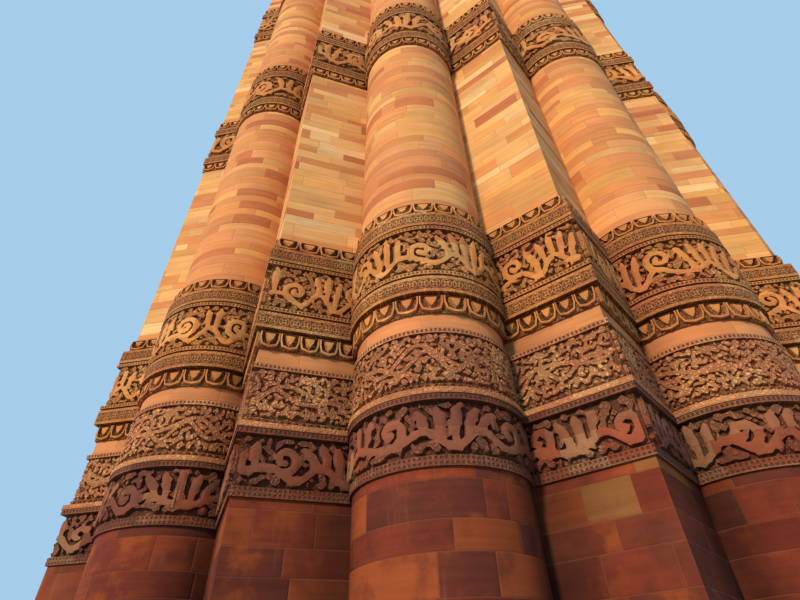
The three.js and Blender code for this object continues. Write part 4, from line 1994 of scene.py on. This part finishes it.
@dataclass(frozen=True)
class Quartzite:
    """Worn grey and brown blocks of the base."""

    name: str = "plinth_quartzite"
    coursing: Coursing = Coursing(height=0.4, length=1.1, joint=0.012)

    SHADES = ((0.0, (0.20, 0.17, 0.15)), (0.4, (0.30, 0.26, 0.22)), (0.7, (0.38, 0.31, 0.25)),
              (1.0, (0.34, 0.20, 0.13)))
    JOINT = (0.10, 0.08, 0.07)

    def material(self) -> bpy.types.Material:
        """Makes the material."""
        bench = Bench(self.name)
        along, up = bench.layer("wall")
        course, stone, distance, joint = self.coursing.stones(bench, along, up)
        pick = bench.chance(course, stone, 51.0)
        cloud = bench.noise(bench.vector(along, up, 3.0), 4.0, 6.0, 0.65)
        colour = bench.ramp(pick * 0.7 + cloud * 0.3, self.SHADES, "LINEAR")
        bench.surface(bench.mix(colour, self.JOINT, joint * 0.7), 0.78 + cloud * 0.16)
        bench.bump(bench.smooth(distance, 0.0, 0.03) + cloud * 0.5, 0.008, 0.8)
        return bench.material


# The studio

@dataclass(frozen=True)
class Sun:
    """A soft distant light.

    around is where it stands from -Y towards +X and above how high it stands, both in
    degrees like its angle, softness.
    """

    name: str
    around: float
    above: float
    strength: float
    colour: Colour
    softness: float

    def build(self) -> None:
        """Hangs the light, with its rays along the way from it to the axis."""
        around, above = math.radians(self.around), math.radians(self.above)
        towards = Vector((math.sin(around) * math.cos(above), -math.cos(around) * math.cos(above),
                          math.sin(above)))
        data = bpy.data.lights.new(self.name, "SUN")
        data.energy = self.strength
        data.color = self.colour
        data.angle = math.radians(self.softness)
        light = bpy.data.objects.new(self.name, data)
        light.rotation_euler = towards.to_track_quat("Z", "Y").to_euler()
        bpy.context.scene.collection.objects.link(light)


@dataclass(frozen=True)
class Studio:
    """Pale floor, warm key from the left, soft light from behind, cool sky, and the camera.

    The eye stands eye_distance from the axis and eye_height over the ground, turned by
    step from the round flute that faces -Y. yaw, pitch and roll aim it.
    """

    eye_distance: float = 11.2482
    eye_height: float = 1.6
    step: float = math.radians(2.2785)
    yaw: float = math.radians(-6.0272)
    pitch: float = math.radians(37.3847)
    roll: float = math.radians(-2.6755)
    focal_pixels: float = 542.3607
    picture_width: float = 800.0
    sensor: float = 36.0
    floor_radius: float = 60.0

    FARTHEST = 300.0
    FLOOR = (0.42, 0.40, 0.37)
    FLOOR_ROUGHNESS = 0.95
    SKY = (0.45, 0.73, 0.99)
    SKY_STRENGTH = 0.84
    SUNS = (Sun("key", -29.0, 27.0, 3.8, (1.0, 0.79, 0.54), 8.0),
            Sun("back", 176.0, 32.0, 1.6, (1.0, 0.86, 0.70), 26.0))

    def camera(self) -> None:
        """Sets the camera: forward from yaw and pitch, then the roll about it."""
        ahead = Vector((math.sin(self.yaw) * math.cos(self.pitch),
                        math.cos(self.yaw) * math.cos(self.pitch), math.sin(self.pitch)))
        right = Vector((math.cos(self.yaw), -math.sin(self.yaw), 0.0))
        up = right.cross(ahead)
        rolled = right * math.cos(self.roll) + up * math.sin(self.roll)
        upright = up * math.cos(self.roll) - right * math.sin(self.roll)
        turn = Matrix.Rotation(self.step, 3, "Z")
        axes = Matrix([turn @ rolled, turn @ upright, turn @ -ahead]).transposed()
        eye = Vector((self.eye_distance * math.sin(self.step), -self.eye_distance * math.cos(self.step),
                      self.eye_height)) * MODEL_SCALE
        data = bpy.data.cameras.new("camera")
        data.sensor_width = self.sensor
        data.lens = self.focal_pixels * self.sensor / self.picture_width
        data.clip_end = self.FARTHEST
        camera = bpy.data.objects.new("camera", data)
        camera.matrix_world = Matrix.Translation(eye) @ axes.to_4x4()
        bpy.context.scene.collection.objects.link(camera)
        bpy.context.scene.camera = camera

    def floor(self) -> None:
        """Lays the pale floor."""
        half = self.floor_radius
        mesh = bpy.data.meshes.new("floor")
        corners = [(-half, -half, 0), (half, -half, 0), (half, half, 0), (-half, half, 0)]
        mesh.from_pydata(corners, [], [(0, 1, 2, 3)])
        bench = Bench("floor")
        bench.surface(self.FLOOR, self.FLOOR_ROUGHNESS)
        mesh.materials.append(bench.material)
        floor = bpy.data.objects.new("floor", mesh)
        bpy.context.scene.collection.objects.link(floor)

    def world(self) -> None:
        """Fills the shade with a pale cool sky."""
        world = bpy.data.worlds.new("sky")
        world.use_nodes = True
        background = world.node_tree.nodes["Background"]
        background.inputs[0].default_value = (*self.SKY, 1.0)
        background.inputs[1].default_value = self.SKY_STRENGTH
        bpy.context.scene.world = world

    def build(self) -> None:
        """Sets up the whole studio, and shows colours as they are."""
        self.camera()
        self.floor()
        self.world()
        for sun in self.SUNS:
            sun.build()
        view = bpy.context.scene.view_settings
        view.view_transform, view.look = "Standard", "None"


# The tower

def first_radius(z: float) -> float:
    """Radius at the flute tips of the first storey, which shrinks evenly with the level."""
    return FOOT_RADIUS * (1 - FOOT_TAPER * z)


FIRST = Storey("first_storey", Plan.ALTERNATE, 0.8, 28.96, 1.76, 0.6, first_radius(0.8),
               first_radius(28.96), 1.0)
SECOND = Storey("second_storey", Plan.ROUND, 28.96, 44.42, 1.42, 0.6, 4.75, 3.8, 0.85)
THIRD = Storey("third_storey", Plan.ANGULAR, 44.42, 56.85, 1.15, 0.62, 3.5, 2.8, 0.75)
FOURTH = Storey("fourth_storey", Plan.PLAIN, 56.85, 64.57, 0.87, 0.68, 2.6, 2.2, 0.65)
FIFTH = Storey("fifth_storey", Plan.PLAIN, 64.57, 71.5, 0.6, 0.68, 2.0, 1.45, 0.35)

LOWEST_COURSES = (
    Course(Motif.NOTCHES, 3.182, 3.226, 0.026),
    Course(Motif.NOTCHES, 3.228, 3.272, 0.026),
    Course(Motif.SCROLL, 3.278, 3.765, 0.004, 0.050, 0.142, 0.095),
    Course(Motif.NOTCHES, 3.775, 3.832, 0.062),
    Course(Motif.PLAIN, 3.836, 3.895, 0.070),
    Course(Motif.ZIGZAG, 3.905, 3.955, 0.016, 0.018, 0.075),
    Course(Motif.FOLIAGE, 3.96, 4.515, 0.002, 0.042, 0.58, 0.067),
    Course(Motif.NOTCHES, 4.52, 4.576, 0.036),
)
GREAT_COURSES = (
    Course(Motif.HANGING_PETALS, 4.775, 4.982, 0.020, 0.036, 0.24),
    Course(Motif.ROSETTES, 5.012, 5.226, 0.088),
    Course(Motif.NOTCHES, 5.252, 5.302, 0.092),
    Course(Motif.SCROLL, 5.304, 5.955, 0.040, 0.054, 0.124, 0.080),
    Course(Motif.NOTCHES, 5.958, 6.006, 0.092),
    Course(Motif.ROSETTES, 6.032, 6.246, 0.088),
    Course(Motif.HANGING_PETALS, 6.272, 6.437, 0.030, 0.036, 0.24),
)


def stacked(low: float, high: float, face: float, scale: float) -> tuple[Course, ...]:
    """The courses of a broad band: petals, flowers, a scroll panel, flowers, petals.

    Args:
        low: Bottom of the band.
        high: Top of the band.
        face: How far its borders stand out.
        scale: Size of its motifs against those of the great band.

    Returns:
        The courses, from the bottom up.
    """
    fringe, flowers, gap = 0.19, 0.235, 0.034
    first, second = low + fringe + gap, low + fringe + flowers + 2 * gap
    third, fourth = high - fringe - flowers - 2 * gap, high - fringe - gap
    return (
        Course(Motif.HANGING_PETALS, low, low + fringe, face * 0.3, 0.030, 0.2 * scale),
        Course(Motif.ROSETTES, first, first + flowers, face),
        Course(Motif.SCROLL, second, third, face * 0.35, 0.05, 0.15 * scale, 0.121 * scale),
        Course(Motif.ROSETTES, third + gap, fourth - gap / 2, face),
        Course(Motif.HANGING_PETALS, fourth + gap / 2, high, face * 0.4, 0.030, 0.2 * scale),
    )


def simple(low: float, high: float, face: float) -> tuple[Course, ...]:
    """The courses of a narrow high band: notches, foliage, petals.

    Args:
        low: Bottom of the band.
        high: Top of the band.
        face: How far its notched course stands out.

    Returns:
        The courses, from the bottom up.
    """
    fillet, petals, gap = 0.1, 0.2, 0.02
    return (
        Course(Motif.NOTCHES, low, low + fillet, face),
        Course(Motif.FOLIAGE, low + fillet + gap, high - petals - gap, face * 0.3, 0.03, 1.1, 0.25),
        Course(Motif.HANGING_PETALS, high - petals, high, face * 0.7, 0.02, 0.30),
    )


def bands() -> list[CarvedBand]:
    """Every carved band, each at the levels of its CAD node."""
    found = [CarvedBand("lowest_bands", FIRST, LOWEST_COURSES, 3, 2),
             CarvedBand("great_band", FIRST, GREAT_COURSES, 3, 2)]
    for node, scale in (("middle_band", 1.15), ("upper_band", 1.25), ("high_band", 1.5)):
        courses = stacked(lowest(node), highest(node), 0.05, scale)
        found.append(CarvedBand(node, FIRST, courses, 3))
    for node, storey, face in (("crowning_band", FIRST, 0.045),
                               ("second_storey_lower_band", SECOND, 0.04),
                               ("second_storey_upper_band", SECOND, 0.04),
                               ("third_storey_lower_band", THIRD, 0.04),
                               ("third_storey_upper_band", THIRD, 0.04),
                               ("fourth_storey_band", FOURTH, 0.035)):
        found.append(CarvedBand(node, storey, simple(lowest(node), highest(node), face), 2))
    return found


FLAT_SHADES = ((0.0, BUFF), (0.24, YELLOW), (0.46, ORANGE), (0.60, BUFF), (0.74, SALMON),
               (0.84, RUST), (0.92, (0.70, 0.43, 0.19)))
CURVED_SHADES = ((0.0, ORANGE), (0.30, SALMON), (0.56, (0.60, 0.27, 0.10)), (0.74, YELLOW),
                 (0.86, BUFF), (0.94, RUST))
RED_SHADES = ((0.0, RUST), (0.3, (0.50, 0.190, 0.068)), (0.55, (0.38, 0.112, 0.046)),
              (0.75, (0.47, 0.175, 0.070)), (0.94, (0.56, 0.270, 0.105)))
CARVED_SHADES = ((0.0, OCHRE), (0.34, (0.495, 0.188, 0.056)), (0.62, (0.57, 0.255, 0.080)),
                 (0.86, (0.475, 0.160, 0.053)), (0.94, (0.59, 0.295, 0.106)))
FOLIAGE_SHADES = ((0.0, (0.61, 0.262, 0.104)), (0.30, (0.53, 0.206, 0.085)),
                  (0.56, (0.65, 0.308, 0.125)), (0.82, (0.55, 0.206, 0.090)))
LOWEST_SHADES = ((0.0, (0.206, 0.066, 0.034)), (0.30, (0.150, 0.046, 0.028)),
                 (0.48, (0.235, 0.086, 0.042)), (0.68, (0.265, 0.122, 0.060)),
                 (0.86, (0.245, 0.062, 0.028)))
TOOLED_SHADES = ((0.0, (0.44, 0.155, 0.058)), (0.4, (0.49, 0.190, 0.070)), (0.7, (0.40, 0.130, 0.050)),
                 (0.9, (0.52, 0.225, 0.085)))


def walls(ashlar: Ashlar, red: Ashlar, marble: Marble) -> None:
    """Builds the masonry of all five storeys.

    Args:
        ashlar: Finish of the first storey.
        red: Finish of the second and the third.
        marble: Finish of the others.
    """
    sides = ("right", "back", "left", "front")
    first_nodes = tuple(f"first_storey_wall_{n:02d}" for n in range(1, FLUTES // 2 + 1))
    buff, upper, white = ashlar.material(), red.material(), marble.material()
    Masonry(FIRST, (*first_nodes, "entrance_surround"), "sandstone_wall", 0.9,
            Doorway(0.5, 1.45, FIRST.floor), (0.22, 0.07)).build(buff)
    for storey in (SECOND, THIRD, FOURTH, FIFTH):
        door = Doorway(0.375, 1.35, storey.floor)
        if storey.plan is Plan.PLAIN:
            nodes = (f"{storey.name}_wall",)
            Masonry(storey, nodes, "white_marble", 1.2, door, (0.14, 0.04)).build(white)
        else:
            nodes = (*(f"{storey.name}_wall_{side}" for side in sides),
                     *(f"{storey.name}_jamb_{side}" for side in ("right", "left")))
            Masonry(storey, nodes, "sandstone_wall", 1.2, door, (0.16, 0.05)).build(upper)


def main() -> None:
    """Builds the studio and every sub-assembly, from the ground up."""
    logging.basicConfig(level=logging.INFO, format="%(message)s")
    Studio().build()
    Plinth().build(Quartzite().material())
    walls(Ashlar("sandstone_ashlar", FLAT_SHADES, CURVED_SHADES, 3.2, (4.57, 4.79)),
          Ashlar("red_ashlar", RED_SHADES, RED_SHADES), Marble())
    carved = CarvedStone("carved_stone", CARVED_SHADES,
                         zones=((3.838, LOWEST_SHADES), (4.59, FOLIAGE_SHADES))).material()
    for band in bands():
        band.build(carved)
    # (0.11, 0.04, 0.022) is the colour of the painted shade in the tooled stone's ground.
    tooled = CarvedStone("tooled_stone", TOOLED_SHADES, (0.11, 0.04, 0.022), (),
                         Coursing(height=0.62, length=0.9, joint=0.005), 0.09).material()
    for storey, name in zip((FIRST, SECOND, THIRD, FOURTH), ("first", "second", "third", "fourth")):
        Gallery(storey, f"{name}_gallery").build(tooled)
        Parapet(storey, f"{name}_gallery_parapet").build(tooled)
    Gallery(FIFTH, "roof", (1, 1, 2), 8, 4).build(tooled)
    Parapet(FIFTH, "roof_parapet", 0.4).build(tooled)
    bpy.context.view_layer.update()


if __name__ == "__main__":
    main()
